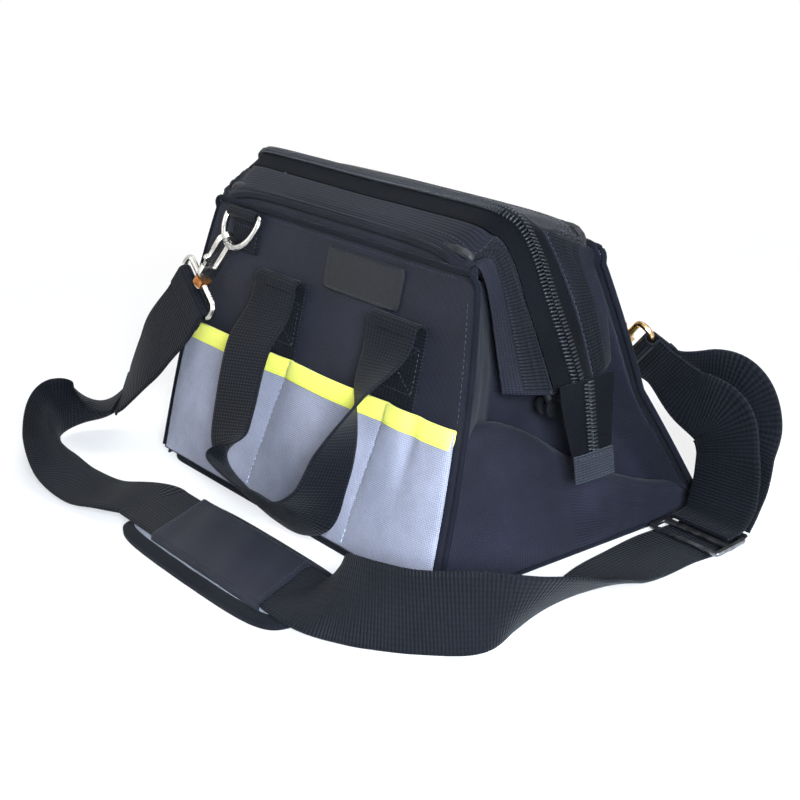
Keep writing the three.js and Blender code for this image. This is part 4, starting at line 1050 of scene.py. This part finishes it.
def softened(grid, reach):
    """The grid averaged along its rows over a bell of some samples; the zip's edge keeps its place."""
    bell = np.hanning(2 * reach + 3)[1:-1]
    bell = bell / bell.sum()
    padded = np.concatenate([np.repeat(grid[:1], reach, axis=0), grid, np.repeat(grid[-1:], reach, axis=0)])
    blurred = sum(weight * padded[k:k + len(grid)] for k, weight in enumerate(bell))
    blurred[[0, -1]] = grid[[0, -1]]
    rows = np.arange(len(grid))
    near_end = smooth(np.minimum(rows, rows[::-1]), 0, reach)[:, None, None]
    share = (1 - smooth(np.linspace(0, 1, grid.shape[1]), 0.72, 1.0))[None, :, None] * near_end
    return grid + (blurred - grid) * share


def teeth(name, centres, along, up):
    """Zip teeth: rounded bars that stand taller than they are wide."""
    return capsules(name, centres, along, up, 4.8, 0.78, FINISHES["coil"], tall=1.6)


def build_mouth(name):
    """Trim over the frame, the zip's tape and its teeth, each side's in the gaps of the other's."""
    trim, line, way = mouth_rows(name)
    trim[:, 5] += way * 0.8
    grid = softened(finer(trim, 330, 26), 21)
    grid = creased(grid, 0.5, 0.9 if name == "front" else 2.4, 3.0)
    cloth(f"{name}_trim_cloth", grid, LINING, "trim", [f"{name}_trim"])
    out = grid_normals(grid)
    across = slice(8, 23)
    for (sign, hand), along in zip(HANDS, (slice(2, 92), slice(-92, -2))):
        away = out[along, across]
        away = away * np.where(np.sum(away[..., 0]) * sign > 0, 1, -1)
        edge = grid[along, across] + away * 1.15
        cloth(f"{name}_ribbed_edge_{hand}", edge, 0.9, "webbing", body=f"{name}_mouth")
    tape = np.stack([line + way * TAPE_WIDTH, line + way * TAPE_WIDTH / 2, line], axis=1)
    cloth(f"{name}_zip_tape_cloth", finer(tape, 330, 12), 1.0, "tape", [f"{name}_zip_tape"])
    fine = spline(line, 1200)
    fine_way = unit(spline(way, 1200, centripetal=False))
    length = length_of(fine)
    run = run_along(fine)
    count = int(length / (2 * ZIP_PITCH))
    at = (np.arange(count) * 2 + (0.5 if name == "front" else 1.5)) * ZIP_PITCH
    centre = sampled(at, run, fine)
    ways = unit(sampled(at, run, fine_way))
    tangent = unit(sampled(at, run, np.gradient(fine, axis=0)))
    up = unit(np.cross(tangent, ways))
    # Outwards: up on the ridge, and away from the middle on the ends
    outer = up[:, 2:3] + np.abs(centre[:, :1]) / 200 * np.sign(centre[:, :1]) * up[:, :1]
    up = up * np.where(outer > 0, 1, -1)
    obj = teeth(f"{name}_zip_teeth", centre + ways * 1.5 + up * 2.1, ways, up)
    dress(obj, [f"{name}_zip_coil"])
    face = out[:, SEAM_COLUMN]
    facing = sampled(np.linspace(0, length, len(grid)), at, up)
    away = face * np.sign(np.sum(face * facing, axis=1, keepdims=True))
    rows = [stitch_row(grid[:, SEAM_COLUMN] + away * 0.85, away, 3.4)]
    sew(f"{name}_mouth_thread", rows, 0.3, "dark", f"{name}_mouth")


TAIL_X = 178
TAIL_Y = 1.5
TAIL_RISE = 11.5


def build_tail(hand):
    """The zip's loose end: a strip of tape with its teeth, and on the right end a folded tab."""
    sign = -1 if hand == "left" else 1
    angle = math.radians(4)
    foot = -52

    def point(out, across, z):
        """A place on the tail, whose foot leans outwards: off its face, across it and along it."""
        out, across, z = broadcast(out, across, z)
        x = out * math.cos(angle) - z * math.sin(angle)
        up = out * math.sin(angle) + z * math.cos(angle)
        return np.stack([sign * (TAIL_X + x), TAIL_Y + sign * across, PIVOT[2] + TAIL_RISE + up], axis=-1)

    z = np.linspace(foot, 9, 50)[:, None]
    across = np.linspace(-1, 1, 16)[None, :] * (14 + 6.5 * smooth(z, foot, 9))
    bow = 0.25 * np.cos(across / 20 * math.pi / 2) + 0.3 * np.sin(z / 9)
    cloth(f"zip_tail_tape_{hand}", point(bow, across, z), 1.4, "tape", [f"zip_tail_{hand}"])
    low = foot + (6 if hand == "left" else 17)
    count = int((8 - low) / ZIP_PITCH)
    at = low + 1 + np.arange(count) * ZIP_PITCH
    centres = point(2.0, np.where(np.arange(count) % 2 == 0, 1.5, -1.5), at)
    zero = point(0, 0, 0)
    along, normal = (np.tile(unit(point(*way) - zero), (count, 1)) for way in ((0, 1, 0), (1, 0, 0)))
    dress(teeth(f"zip_tail_teeth_{hand}", centres, along, normal), body="frame_pins")
    if hand == "left":
        return
    z = np.linspace(foot, foot + 17, 14)[:, None]
    across = np.linspace(-15, 15, 20)[None, :]
    bow = 1.7 + 0.5 * np.cos(across / 15 * math.pi / 2)
    cloth("zip_tail_tab", point(bow, across, z), 1.6, "tab", body="frame_pins")
    line = np.array([point(3.1, a, z) for a, z in box_path(-12.6, foot + 2.5, 12.6, foot + 14.5)])
    rows = [stitch_row(evenly(line, 60), point(1, 0, 0) - zero, 3.0)]
    sew("zip_tail_thread", rows, 0.3, "dark", "frame_pins")


# Shoulder pad and strap

PAD_POWER = 0.34
PAD_PINCH = 0.06
PAD_RIM = 0.37


def pad_swell(share):
    """How full the pad is at a share of the way from its middle to its edge."""
    return np.sqrt(np.clip(1 - share**6, 0, 1))


def pad_top(share):
    """The height of the pad's upper face at such a share."""
    return GAP + PAD_THICKNESS * (0.42 + 0.56 * pad_swell(share))


def build_pad():
    """Pad: the outline is a power curve of the angle, and the thickness falls to the bound edge."""
    r = np.concatenate([np.linspace(0.02, 0.9, 24), np.linspace(0.92, 1, 8)])[:, None]
    angle = np.linspace(0, 2 * math.pi, 161)[None, :-1]
    a = np.sign(np.cos(angle)) * np.abs(np.cos(angle)) ** PAD_POWER * PAD_SIZE[0] / 2
    b = np.sign(np.sin(angle)) * np.abs(np.sin(angle)) ** PAD_POWER * PAD_SIZE[1] / 2
    b = b * (1 - PAD_PINCH * (a / (PAD_SIZE[0] / 2)) ** 2)
    x = PAD_CENTRE[0] + a * r
    y = PAD_CENTRE[1] + b * r
    low = GAP + PAD_THICKNESS * 0.32 * (1 - pad_swell(r))
    points = np.concatenate([np.stack(np.broadcast_arrays(x, y, z), axis=-1) for z in (pad_top(r), low)])
    rows, columns = x.shape
    count = rows * columns
    edge = np.arange(columns) + count - columns
    wall = np.stack([edge, np.roll(edge, -1), np.roll(edge, -1) + count, edge + count], axis=1)
    upper = quads(rows, columns, wrap=True)
    faces = np.concatenate([upper, upper[:, ::-1] + count, wall]).tolist()
    faces += [list(range(columns)), list(range(count, count + columns))]
    obj = make_object("shoulder_pad_body", points, faces, points[..., :2] * MM, FINISHES["pad"])
    dress(obj, ["shoulder_pad"])
    build_pad_edge(np.stack([x[-1], y[-1], np.full(columns, GAP + PAD_THICKNESS * PAD_RIM)], axis=1))


def build_pad_edge(rim):
    """Tape bound round the pad: over its top for an even width, round its edge and a little under it."""
    centre = np.array([*PAD_CENTRE, 0])
    along = np.roll(rim, -1, axis=0) - np.roll(rim, 1, axis=0)
    away = unit(np.stack([along[:, 1], -along[:, 0], 0 * along[:, 0]], axis=1))
    away = away * np.sign(np.sum(away * (rim - centre), axis=1, keepdims=True))
    strips = []
    for t in np.linspace(0, 1, 14):
        place = rim - away * (PAD_BORDER * (1 - t) ** 1.8 + 0.1)
        p = np.abs(place[:, 0] - centre[0]) / (PAD_SIZE[0] / 2)
        q = np.abs(place[:, 1] - centre[1]) / (PAD_SIZE[1] / 2 * (1 - PAD_PINCH * p**2))
        share = np.minimum((p ** (2 / PAD_POWER) + q ** (2 / PAD_POWER)) ** (PAD_POWER / 2), 1)
        place[:, 2] = pad_top(share) + 0.45
        strips.append(place)
    for degrees in np.linspace(40, -80, 6):
        turn = math.radians(degrees)
        strips.append(rim + away * (0.2 * math.cos(turn) - 0.2) + np.array([0, 0, 2.1 * math.sin(turn)]))
    tape = np.stack(strips, axis=1)
    tape = np.concatenate([tape, tape[:1]])
    cloth("shoulder_pad_edge", tape, 0.7, "pad_edge", body="pad")


SLEEVE_HALF = 28
SLEEVE_FALL = 3.1


def sleeve_fall(across):
    """The share of its fall that the sleeve has taken at a distance from its middle line."""
    return smooth(np.abs(across), 25.0, 27.9)


def build_sleeve():
    """Sleeve over the strap: flat on top, falling to the pad along both long edges, with slanted ends."""
    flank = np.linspace(-SLEEVE_HALF, -22, 12)
    across = np.concatenate([flank, np.linspace(-20, 20, 24), -flank[::-1]])[None, :]
    along = np.linspace(-SLEEVE_LENGTH / 2, SLEEVE_LENGTH / 2, 90)[:, None]
    top = 7.3 + GAP + STRAP_THICKNESS + 4 * GAP + 0.7
    fall = sleeve_fall(across)
    ripple = 0.35 * np.sin(along * 0.14 + across * 0.05) * (1 - fall)
    z = top - fall * SLEEVE_FALL + ripple * smooth(SLEEVE_LENGTH / 2 - np.abs(along), 0, 20)

    def lying(along, across, z):
        """A place on the sleeve, whose ends slant across the pad."""
        x = PAD_CENTRE[0] + along - across / SLEEVE_HALF * SLEEVE_SLANT
        return np.stack(broadcast(x, PAD_CENTRE[1] + across, z), axis=-1)

    cloth("pad_sleeve_cloth", lying(along, across, z), 1.4, "canvas", ["pad_sleeve"])
    rows = []
    for side in (-1, 1):
        t = np.linspace(-SLEEVE_LENGTH / 2 + 3, SLEEVE_LENGTH / 2 - 3, 80)
        line = lying(t, side * 26.6, top - SLEEVE_FALL * sleeve_fall(26.6) + 0.9)
        rows.append(stitch_row(line, [0, 0.5 * side, 1], 3.2))
        y = np.linspace(-24, 24, 40)
        line = lying(side * (SLEEVE_LENGTH / 2 - 4), y, top + 0.85 - sleeve_fall(y) * SLEEVE_FALL)
        rows.append(stitch_row(line, [0, 0, 1], 3.2))
    sew("pad_sleeve_thread", rows, 0.3, "dark", "pad")


def strap_exit(name, shift):
    """Two stations straight out of a strap end."""
    way = strap_end_point(name, 1, 0, 0) - strap_end_point(name, 0, 0, 0)
    return [(strap_end_point(name, 0, shift - WRAP, TAIL_DROP + drop), way) for drop in (-2.5, 7)]


def strap_routes():
    """The strap's five lengths as they lie in the photo, each a list of points and width directions."""
    sleeve_z = GAP + PAD_THICKNESS + 3 * GAP + STRAP_THICKNESS / 2
    pad_x, pad_y = PAD_CENTRE
    down = [([-171, -98, 86], [0.94, -0.12, -0.3]), ([-187, -104, 66], [0.96, -0.2, -0.1]),
            ([-203, -114, 42], [0.91, -0.39, 0]), ([-206.5, -116, 38.2], [0.91, -0.39, 0])]
    floor = [([-204.7, -115, 39.6], [0.91, -0.39, 0]), ([-222, -124, 30], [0.8, -0.42, 0.4]),
             ([-239, -137, 27], [0.55, -0.2, 0.8]), ([-240, -155, 27], [0.2, -0.25, 0.92]),
             ([-222, -171, 24.5], [0.15, -0.5, 0.8]), ([-196, -180, 16], [0.2, -0.85, 0.5]),
             ([-164, -184, 7.2], [0.25, -0.95, 0.2]), ([-128, -181, 4], [0.25, -0.96, 0.06]),
             ([-95, -174, 9], [0.22, -0.97, 0]),
             ([pad_x - SLEEVE_LENGTH / 2 - 42, pad_y, sleeve_z + 0.2], [0, -1, 0]),
             ([pad_x - SLEEVE_LENGTH / 2 - 34, pad_y, sleeve_z], [0, -1, 0]),
             ([pad_x - 30, pad_y, sleeve_z], [0, -1, 0]), ([pad_x - GAP, pad_y, sleeve_z], [0, -1, 0])]
    side = [([pad_x + GAP, pad_y, sleeve_z], [0, -1, 0]), ([pad_x + 30, pad_y, sleeve_z], [0, -1, 0]),
            ([pad_x + SLEEVE_LENGTH / 2 - 4, pad_y, sleeve_z], [0, -1, 0]),
            ([pad_x + SLEEVE_LENGTH / 2 + 12, pad_y, sleeve_z + 0.6], [0, -1, -0.02]),
            ([pad_x + SLEEVE_LENGTH / 2 + 25, pad_y, sleeve_z + 4.5], [0.02, -0.96, -0.28]),
            ([138, -165, 18.5], [0.05, -0.82, -0.57]), ([154, -164.5, 23.5], [0.08, -0.55, -0.83]),
            ([178, -160, 26.5], [0.04, -0.28, -0.96]), ([205, -146, 27], [0, -0.08, -1]),
            ([227, -123, 27], [0, 0, -1]),
            ([236, -93, 25], [-0.5, 0.2, -0.84]), ([228, -54, 16], [-0.8, 0.3, -0.5]),
            ([212, -18, 8], [-0.95, 0.25, -0.2]), ([202, 15, 3], [-0.98, 0.1, -0.05]),
            ([197, 45, 1.7], [-1, 0, 0]), ([198, 62, 1.7], [-1, 0, 0]), ([200, 76, 2.6], [-1, 0, 0]),
            ([200, 86, 7], [-1, 0, 0])]
    outer = [([200, 87.6, 8.3], [-1, 0, 0]), ([200, 95, 18], [-1, 0, 0]),
             ([200, 100, 31], [-0.97, -0.12, -0.05]), ([203, 104, 52], [-0.93, -0.1, -0.3]),
             ([203, 108, 68], [-0.9, -0.2, -0.38]), ([193, 109, 84], [-0.8, -0.2, -0.5]),
             ([170, 103, 92], [-0.75, 0.1, -0.62])]
    inner = [([200, 69.5, 9.4], [-1, 0, 0]), ([200, 83, 11.5], [-1, 0, 0]),
             ([199.5, 90, 20], [-0.97, -0.12, 0]), ([199, 94, 32], [-0.95, -0.12, -0.1]),
             ([198, 96, 50], [-0.93, -0.1, -0.3]), ([190, 98, 68], [-0.85, -0.2, -0.45]),
             ([168, 93, 80], [-0.78, 0, -0.6])]
    return {
        "front_drop": [*strap_exit("front", 0), *down],
        "front_floor": floor,
        "side": side,
        "rear_outer": [*outer, *reversed(strap_exit("rear", -STRAP_THICKNESS * 0.8))],
        "rear_inner": [*inner, *reversed(strap_exit("rear", STRAP_THICKNESS * 0.8))],
    }


def build_strap():
    """Five lengths of webbing: the two long ones on the floor ride with the base, and the short ones keep
    their places.
    """
    counts = {"front_drop": 60, "front_floor": 180, "side": 210, "rear_outer": 110, "rear_inner": 110}
    pieces = {}
    for key, route in strap_routes().items():
        obj, line = band(f"strap_{key}_web", route, WEB_WIDTH, STRAP_THICKNESS, FINISHES["webbing"],
                         counts[key])
        nodes = [f"strap_{key}"]
        if key == "front_drop":
            stretch(obj, nodes)
        elif key.startswith("rear"):
            stretch(obj, nodes)
        else:
            dress(obj, nodes, "bag_base")
        pieces[key] = (obj, line)
    for key, mates in (("front_floor", ["front_drop"]), ("side", ["rear_outer", "rear_inner"])):
        obj, line = pieces[key]


def copy_of(node, name, material, bevel):
    """A merged copy of a CAD node with its flat faces joined and its edges rounded by a bevel."""
    mesh = frame["nodes"][node].data.copy()
    mesh.name = name
    shell = bmesh.new()
    shell.from_mesh(mesh)
    bmesh.ops.remove_doubles(shell, verts=shell.verts, dist=1e-6)
    bmesh.ops.dissolve_limit(shell, angle_limit=math.radians(2), verts=shell.verts, edges=shell.edges)
    shell.to_mesh(mesh)
    shell.free()
    mesh.materials.clear()
    mesh.materials.append(material)
    obj = bpy.data.objects.new(name, mesh)
    bpy.context.collection.objects.link(obj)
    mesh.shade_smooth()
    mesh.set_sharp_from_angle(angle=math.radians(35))
    edge = obj.modifiers.new("rounded_edges", "BEVEL")
    edge.width = bevel * MM
    edge.segments = 2
    edge.limit_method = "ANGLE"
    edge.angle_limit = math.radians(40)
    return obj


METAL_COPIES = {
    "front_hook": ("silver", "silver_metal", 0.5),
    "front_hook_gate": ("silver", "silver_metal", 0.3),
    "front_swivel": ("silver", "gold_metal", 0.25),
    "rear_hook": ("gold", "gold_metal", 0.5),
    "rear_hook_gate": ("gold", "gold_metal", 0.3),
    "rear_swivel": ("gold", "gold_metal", 0.25),
    "zip_slider": ("gunmetal", "silver_metal", 0.35),
    "zip_pull": ("gunmetal", "silver_metal", 0.35),
    "strap_glide": ("gunmetal", "glide", 0.5),
}
# Solids kept as they are, with new finishes; the frame and its rivets take dark steel that paints in the
# shade they sit in
SOLIDS_SHOWN = {
    "front_frame": "dark_steel_and_shade",
    "rear_frame": "dark_steel_and_shade",
    "frame_rivet_left": "dark_steel_and_shade",
    "frame_rivet_right": "dark_steel_and_shade",
    "base_skin": "canvas",
    "base_board": "board",
}


def build_metal():
    """Metal fittings keep their solids' shapes, with rounded edges and plated finishes."""
    for node, (finish, slot, bevel) in METAL_COPIES.items():
        obj = copy_of(node, f"{node}_metal", FINISHES[finish], bevel)
        dress(obj, [node])
    _, origin, axes = hook_frame("front")
    top, low = (placed("front", origin + axes @ np.array([0, 0, z])) for z in (-34.6, -40.6))
    obj = tube("front_collar", np.linspace(top, low, 7), 6.0, FINISHES["copper"], sides=24)
    dress(obj, body="front_turn")
    for node, finish in SOLIDS_SHOWN.items():
        materials = frame["nodes"][node].data.materials
        materials.clear()
        materials.append(FINISHES[finish])


# Settings, operators and panel

def colour_setting(name, description, default):
    """A colour that the user may change."""
    return bpy.props.FloatVectorProperty(name=name, description=description, subtype="COLOR_GAMMA", size=3,
                                         min=0, max=1, default=default)


def spacing_setting(name, description, default):
    """A spacing in millimetres that the user may change."""
    return bpy.props.FloatProperty(name=name, description=description, default=default, min=0.4, max=6)


class BagColours(bpy.types.PropertyGroup):
    """Colours of the bag's cloths and tapes, as sRGB."""

    canvas: colour_setting("Canvas", "Body cloth", (0.085, 0.09, 0.12))
    pocket: colour_setting("Pockets", "Pocket cloth", (0.5, 0.51, 0.56))
    binding: colour_setting("Tape", "Folded tape on the pockets", (0.88, 0.87, 0.38))
    webbing: colour_setting("Webbing", "Handles and strap", (0.045, 0.047, 0.058))


class BagWeave(bpy.types.PropertyGroup):
    """Thread spacings. The real cloth's 0.5 mm threads are drawn coarser, so that they show."""

    canvas_pitch: spacing_setting("Canvas threads", "Millimetres between threads", 1.15)
    web_pitch: spacing_setting("Webbing ribs", "Millimetres between ribs", 2.1)


class TOOLBAG_OT_finishes(bpy.types.Operator):
    """Makes the materials of the bag"""

    bl_idname = "toolbag.finishes"
    bl_label = "Finishes"

    def execute(self, context):
        colours = context.scene.toolbag_colours
        weave = context.scene.toolbag_weave
        canvas = hex_of(colours.canvas)
        pocket = hex_of(colours.pocket)
        tape = hex_of(colours.binding)
        web = hex_of(colours.webbing)
        # Polyester canvas, plain woven and coated behind: near black with a blue cast and a soft sheen
        FINISHES["canvas"] = woven("polyester_canvas", shade(canvas, 0.72), shade(canvas, 1.5),
                                   weave.canvas_pitch, 0.55, sheen=0.03, roughness=0.5, glitter=0.1)
        FINISHES["trim"] = woven("mouth_canvas", shade(canvas, 0.62), shade(canvas, 1.3),
                                 weave.canvas_pitch, 0.55, sheen=0.03, roughness=0.55, glitter=0.05)
        # Heavier grey polyester canvas of the pockets: a salt and pepper weave
        FINISHES["pocket"] = woven("pocket_canvas", shade(pocket, 0.78), shade(pocket, 1.2), 1.25, 0.6,
                                   sheen=0.1, glitter=0.1)
        # Lime polyester tape, fine weave, folded
        FINISHES["binding"] = woven("lime_tape", shade(tape, 0.85), shade(tape, 1.05), 1.0, 0.35, sheen=0.1)
        # Polypropylene webbing: thick cross ribs with a slight gloss
        FINISHES["webbing"] = woven("ribbed_webbing", shade(web, 0.5), shade(web, 1.75), weave.web_pitch, 0.9,
                                    sheen=0.02, roughness=0.55, rib=True, glitter=0.05)
        FINISHES["tape"] = woven("zip_tape_weave", shade(web, 0.6), shade(web, 1.3), 1.1, 0.5, sheen=0.02)
        FINISHES["piping"] = woven("piping_tape", shade(canvas, 0.55), shade(canvas, 1.15), 1.0, 0.4,
                                   sheen=0.03)
        FINISHES["pad"] = woven("pad_canvas", "6d7078", "a0a4ac", 1.25, 0.5, sheen=0.15)
        FINISHES["pad_edge"] = woven("pad_edge_tape", "0d0e11", "1b1d22", 1.0, 0.4, sheen=0.03)
        FINISHES["tab"] = woven("grey_tab_weave", "121418", "292b31", 1.6, 0.7, sheen=0.1, rib=True)
        # Nylon coil: glossy black-grey teeth
        FINISHES["coil"] = plain_cord("nylon_coil", "17181b", "2a2b2f", 900.0, 0.36)
        FINISHES["badge"] = plain_cord("moulded_rubber", "101114", "191a1e", 500.0, 0.5)
        FINISHES["board"] = plain_cord("pressed_board", "1e1f22", "2a2b2f", 300.0, 0.7)
        # Bonded polyester threads
        FINISHES["pale_thread"] = plain_cord("pale_thread", "a9bcd2", "cad8e6", 1500.0, 0.6)
        FINISHES["lime_thread"] = plain_cord("lime_thread", "b9c52c", "d6e04a", 1500.0, 0.6)
        FINISHES["dark_thread"] = plain_cord("dark_thread", "1c1e24", "33363e", 1500.0, 0.6)
        # Nickel, brass and black nickel plate on zinc castings, and drawn steel rod
        FINISHES["silver"] = plated("nickel_plate", "d9d7d2", "b9b7b2", 0.2)
        FINISHES["gold"] = plated("pale_brass_plate", "d8b98a", "b08d5c", 0.24)
        FINISHES["gunmetal"] = plated("black_nickel_plate", "85868a", "5e5f63", 0.3)
        FINISHES["copper"] = plated("copper_plate", "c98a52", "9c5f30", 0.28)
        # Frame rod and rivets: dark steel, which paints in the shade they sit in; their own coating is a
        # guess
        FINISHES["dark_steel_and_shade"] = plated("dark_steel_painted_shade", "3c3d41", "2b2c2f", 0.45)
        return {"FINISHED"}


class TOOLBAG_OT_base(bpy.types.Operator):
    """Makes the cord round the base"""

    bl_idname = "toolbag.base"
    bl_label = "Base"

    def execute(self, context):
        build_base()
        return {"FINISHED"}


class TOOLBAG_OT_long_sides(bpy.types.Operator):
    """Makes both long sides: panel, piping, pocket, tape, threads and handles"""

    bl_idname = "toolbag.long_sides"
    bl_label = "Long sides"

    def execute(self, context):
        for name in ("front", "rear"):
            build_panel(name)
            build_panel_piping(name)
            build_hem(name)
            build_pocket(name)
            build_binding(name)
            build_side_threads(name)
            build_handle(name)
        build_patch()
        return {"FINISHED"}


class TOOLBAG_OT_hangers(bpy.types.Operator):
    """Makes the D-rings, their tabs and the strap's ends"""

    bl_idname = "toolbag.hangers"
    bl_label = "Rings and strap ends"

    def execute(self, context):
        for name in ("front", "rear"):
            build_ring_and_tab(name)
            build_strap_end(name)
        return {"FINISHED"}


class TOOLBAG_OT_gussets(bpy.types.Operator):
    """Makes the folded cloth of the two ends"""

    bl_idname = "toolbag.gussets"
    bl_label = "Gussets"

    def execute(self, context):
        build_gussets()
        return {"FINISHED"}


class TOOLBAG_OT_mouth(bpy.types.Operator):
    """Makes the trim, the zip and its loose ends"""

    bl_idname = "toolbag.mouth"
    bl_label = "Mouth and zip"

    def execute(self, context):
        for name in ("front", "rear"):
            build_mouth(name)
        for hand in ("left", "right"):
            build_tail(hand)
        return {"FINISHED"}


class TOOLBAG_OT_strap(bpy.types.Operator):
    """Makes the shoulder strap, as it lies, and its pad"""

    bl_idname = "toolbag.strap"
    bl_label = "Strap and pad"

    def execute(self, context):
        build_strap()
        build_pad()
        build_sleeve()
        return {"FINISHED"}


class TOOLBAG_OT_metal(bpy.types.Operator):
    """Finishes the metal fittings and the parts that keep their solids"""

    bl_idname = "toolbag.metal"
    bl_label = "Metal"

    def execute(self, context):
        build_metal()
        return {"FINISHED"}


def stand(name, data, place, axes):
    """A camera or lamp at a place in metres, with its own right, up and back directions."""
    obj = bpy.data.objects.new(name, data)
    bpy.context.collection.objects.link(obj)
    turn = np.stack(axes, axis=1)
    obj.matrix_world = Matrix.Translation(place) @ Matrix(turn.tolist()).to_4x4()
    return obj


# Lamps: name, place, size and power, colour, what they aim at, and the spread of their light in degrees
LAMPS = (("key_softbox", (1.25, -0.6, 0.6), 0.4, 5.0, (0.78, 0.88, 1.0), (0.18, -0.06, 0.1), 42),
         ("fill_softbox", (-0.9, -1.5, 1.0), 1.2, 9.0, (1.0, 0.98, 0.96), (0, 0, 0.1), 180),
         ("top_softbox", (0.1, 0.4, 1.9), 1.3, 26.0, (1.0, 1.0, 1.0), (0, 0, 0.1), 180))


def build_floor():
    """Pale paper, which the camera sees fade to white away from the bag."""
    half = 6000.0
    corners = [[-half, -half, 0], [half, -half, 0], [half, half, 0], [-half, half, 0]]
    material, tree = new_material("matt_paper")
    path = add_node(tree, "ShaderNodeLightPath")
    where = add_node(tree, "ShaderNodeTexCoord")
    far = add_node(tree, "ShaderNodeVectorMath", {"operation": "LENGTH"}, {0: where.outputs["Object"]})
    fade = add_node(tree, "ShaderNodeMapRange",
                    {"From Min": 0.3, "From Max": 0.75, "To Min": 0.55, "To Max": 1.0},
                    {"Value": far.outputs["Value"]})
    seen = add_node(tree, "ShaderNodeMath", {"operation": "MULTIPLY"},
                    {0: path.outputs["Is Camera Ray"], 1: fade.outputs["Result"]})
    paper = add_node(tree, "ShaderNodeBsdfDiffuse", {"Color": (0.86, 0.86, 0.87, 1)})
    glow = add_node(tree, "ShaderNodeEmission", {"Color": (1, 1, 1, 1), "Strength": 1.0})
    mix = add_node(tree, "ShaderNodeMixShader", None,
                   {0: seen.outputs[0], 1: paper.outputs[0], 2: glow.outputs[0]})
    add_node(tree, "ShaderNodeOutputMaterial", None, {"Surface": mix.outputs[0]})
    floor = make_object("paper_floor", corners, [[0, 1, 2, 3]], np.zeros((4, 2)), material,
                        recalculate=False)


def build_world():
    """White surroundings: full white to the camera and in reflections, and dim as a light."""
    world = bpy.data.worlds.new("white_room")
    world.use_nodes = True
    tree = world.node_tree
    tree.nodes.clear()
    rays = add_node(tree, "ShaderNodeLightPath").outputs
    direct = add_node(tree, "ShaderNodeMath", {"operation": "MAXIMUM"},
                      {0: rays["Is Camera Ray"], 1: rays["Is Glossy Ray"]})
    shown = add_node(tree, "ShaderNodeMath", {"operation": "MAXIMUM"},
                     {0: direct.outputs[0], 1: rays["Is Transmission Ray"]})
    strength = add_node(tree, "ShaderNodeMapRange", {"To Min": 0.2, "To Max": 1.0},
                        {"Value": shown.outputs[0]})
    light = add_node(tree, "ShaderNodeBackground", {"Color": (1, 1, 1, 1)},
                     {"Strength": strength.outputs["Result"]})
    add_node(tree, "ShaderNodeOutputWorld", None, {"Surface": light.outputs[0]})
    bpy.context.scene.world = world


def build_lamps():
    """Square lamps, each turned to what it aims at."""
    for name, place, size, power, tint, target, spread in LAMPS:
        lamp = bpy.data.lights.new(name, "AREA")
        lamp.spread = math.radians(spread)
        lamp.color = tint
        lamp.energy = power
        lamp.size = size
        back = unit(np.array(place) - np.array(target))
        right = unit(np.cross([0, 0, 1.0], back))
        stand(name, lamp, place, [right, np.cross(back, right), back])


class TOOLBAG_OT_camera(bpy.types.Operator):
    """Makes the camera at the photo's place"""

    bl_idname = "toolbag.camera"
    bl_label = "Camera"

    def execute(self, context):
        azimuth = math.radians(55.96)
        height = math.radians(19.88)
        roll = math.radians(-3.5)
        distance = 1149.0
        focal_pixels = 1688.0
        picture = 800
        look_at = np.array([-14.45, 0, 53.82])
        back = np.array([math.sin(azimuth) * math.cos(height), -math.cos(azimuth) * math.cos(height),
                         math.sin(height)])
        right = np.array([math.cos(azimuth), math.sin(azimuth), 0])
        up = np.cross(back, right)
        level = right * math.cos(roll) + up * math.sin(roll)
        upright = up * math.cos(roll) - right * math.sin(roll)
        lens = bpy.data.cameras.new("photo_camera")
        lens.sensor_width = 36
        lens.lens = focal_pixels / picture * 36
        lens.clip_end = 20
        place = (look_at + back * distance) * MM
        bpy.context.scene.camera = stand("photo_camera", lens, place, [level, upright, back])
        return {"FINISHED"}


class TOOLBAG_OT_stage(bpy.types.Operator):
    """Makes the pale floor, the soft lamps and the white surroundings"""

    bl_idname = "toolbag.stage"
    bl_label = "Stage"

    def execute(self, context):
        context.scene.view_settings.view_transform = "Standard"
        build_floor()
        build_world()
        build_lamps()
        return {"FINISHED"}


class TOOLBAG_PT_panel(bpy.types.Panel):
    """Lists the steps that build the bag"""

    bl_label = "Tool bag"
    bl_idname = "TOOLBAG_PT_panel"
    bl_space_type = "VIEW_3D"
    bl_region_type = "UI"
    bl_category = "Tool bag"

    def draw(self, context):
        colours = context.scene.toolbag_colours
        for name in ("canvas", "pocket", "binding", "webbing"):
            self.layout.prop(colours, name)
        for name in ("canvas_pitch", "web_pitch"):
            self.layout.prop(context.scene.toolbag_weave, name)
        for operator in OPERATORS:
            self.layout.operator(operator.bl_idname)


OPERATORS = (TOOLBAG_OT_camera, TOOLBAG_OT_finishes, TOOLBAG_OT_strap, TOOLBAG_OT_base, TOOLBAG_OT_long_sides,
             TOOLBAG_OT_hangers, TOOLBAG_OT_gussets, TOOLBAG_OT_mouth, TOOLBAG_OT_metal, TOOLBAG_OT_stage)
CLASSES = (BagColours, BagWeave, *OPERATORS, TOOLBAG_PT_panel)


def register():
    for item in CLASSES:
        bpy.utils.register_class(item)
    bpy.types.Scene.toolbag_colours = bpy.props.PointerProperty(type=BagColours)
    bpy.types.Scene.toolbag_weave = bpy.props.PointerProperty(type=BagWeave)


def unregister():
    del bpy.types.Scene.toolbag_weave
    del bpy.types.Scene.toolbag_colours
    for item in reversed(CLASSES):
        bpy.utils.unregister_class(item)


def main():
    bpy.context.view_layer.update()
    register()
    for operator in OPERATORS:
        group, step = operator.bl_idname.split(".")
        getattr(getattr(bpy.ops, group), step)()


if __name__ == "__main__":
    main()
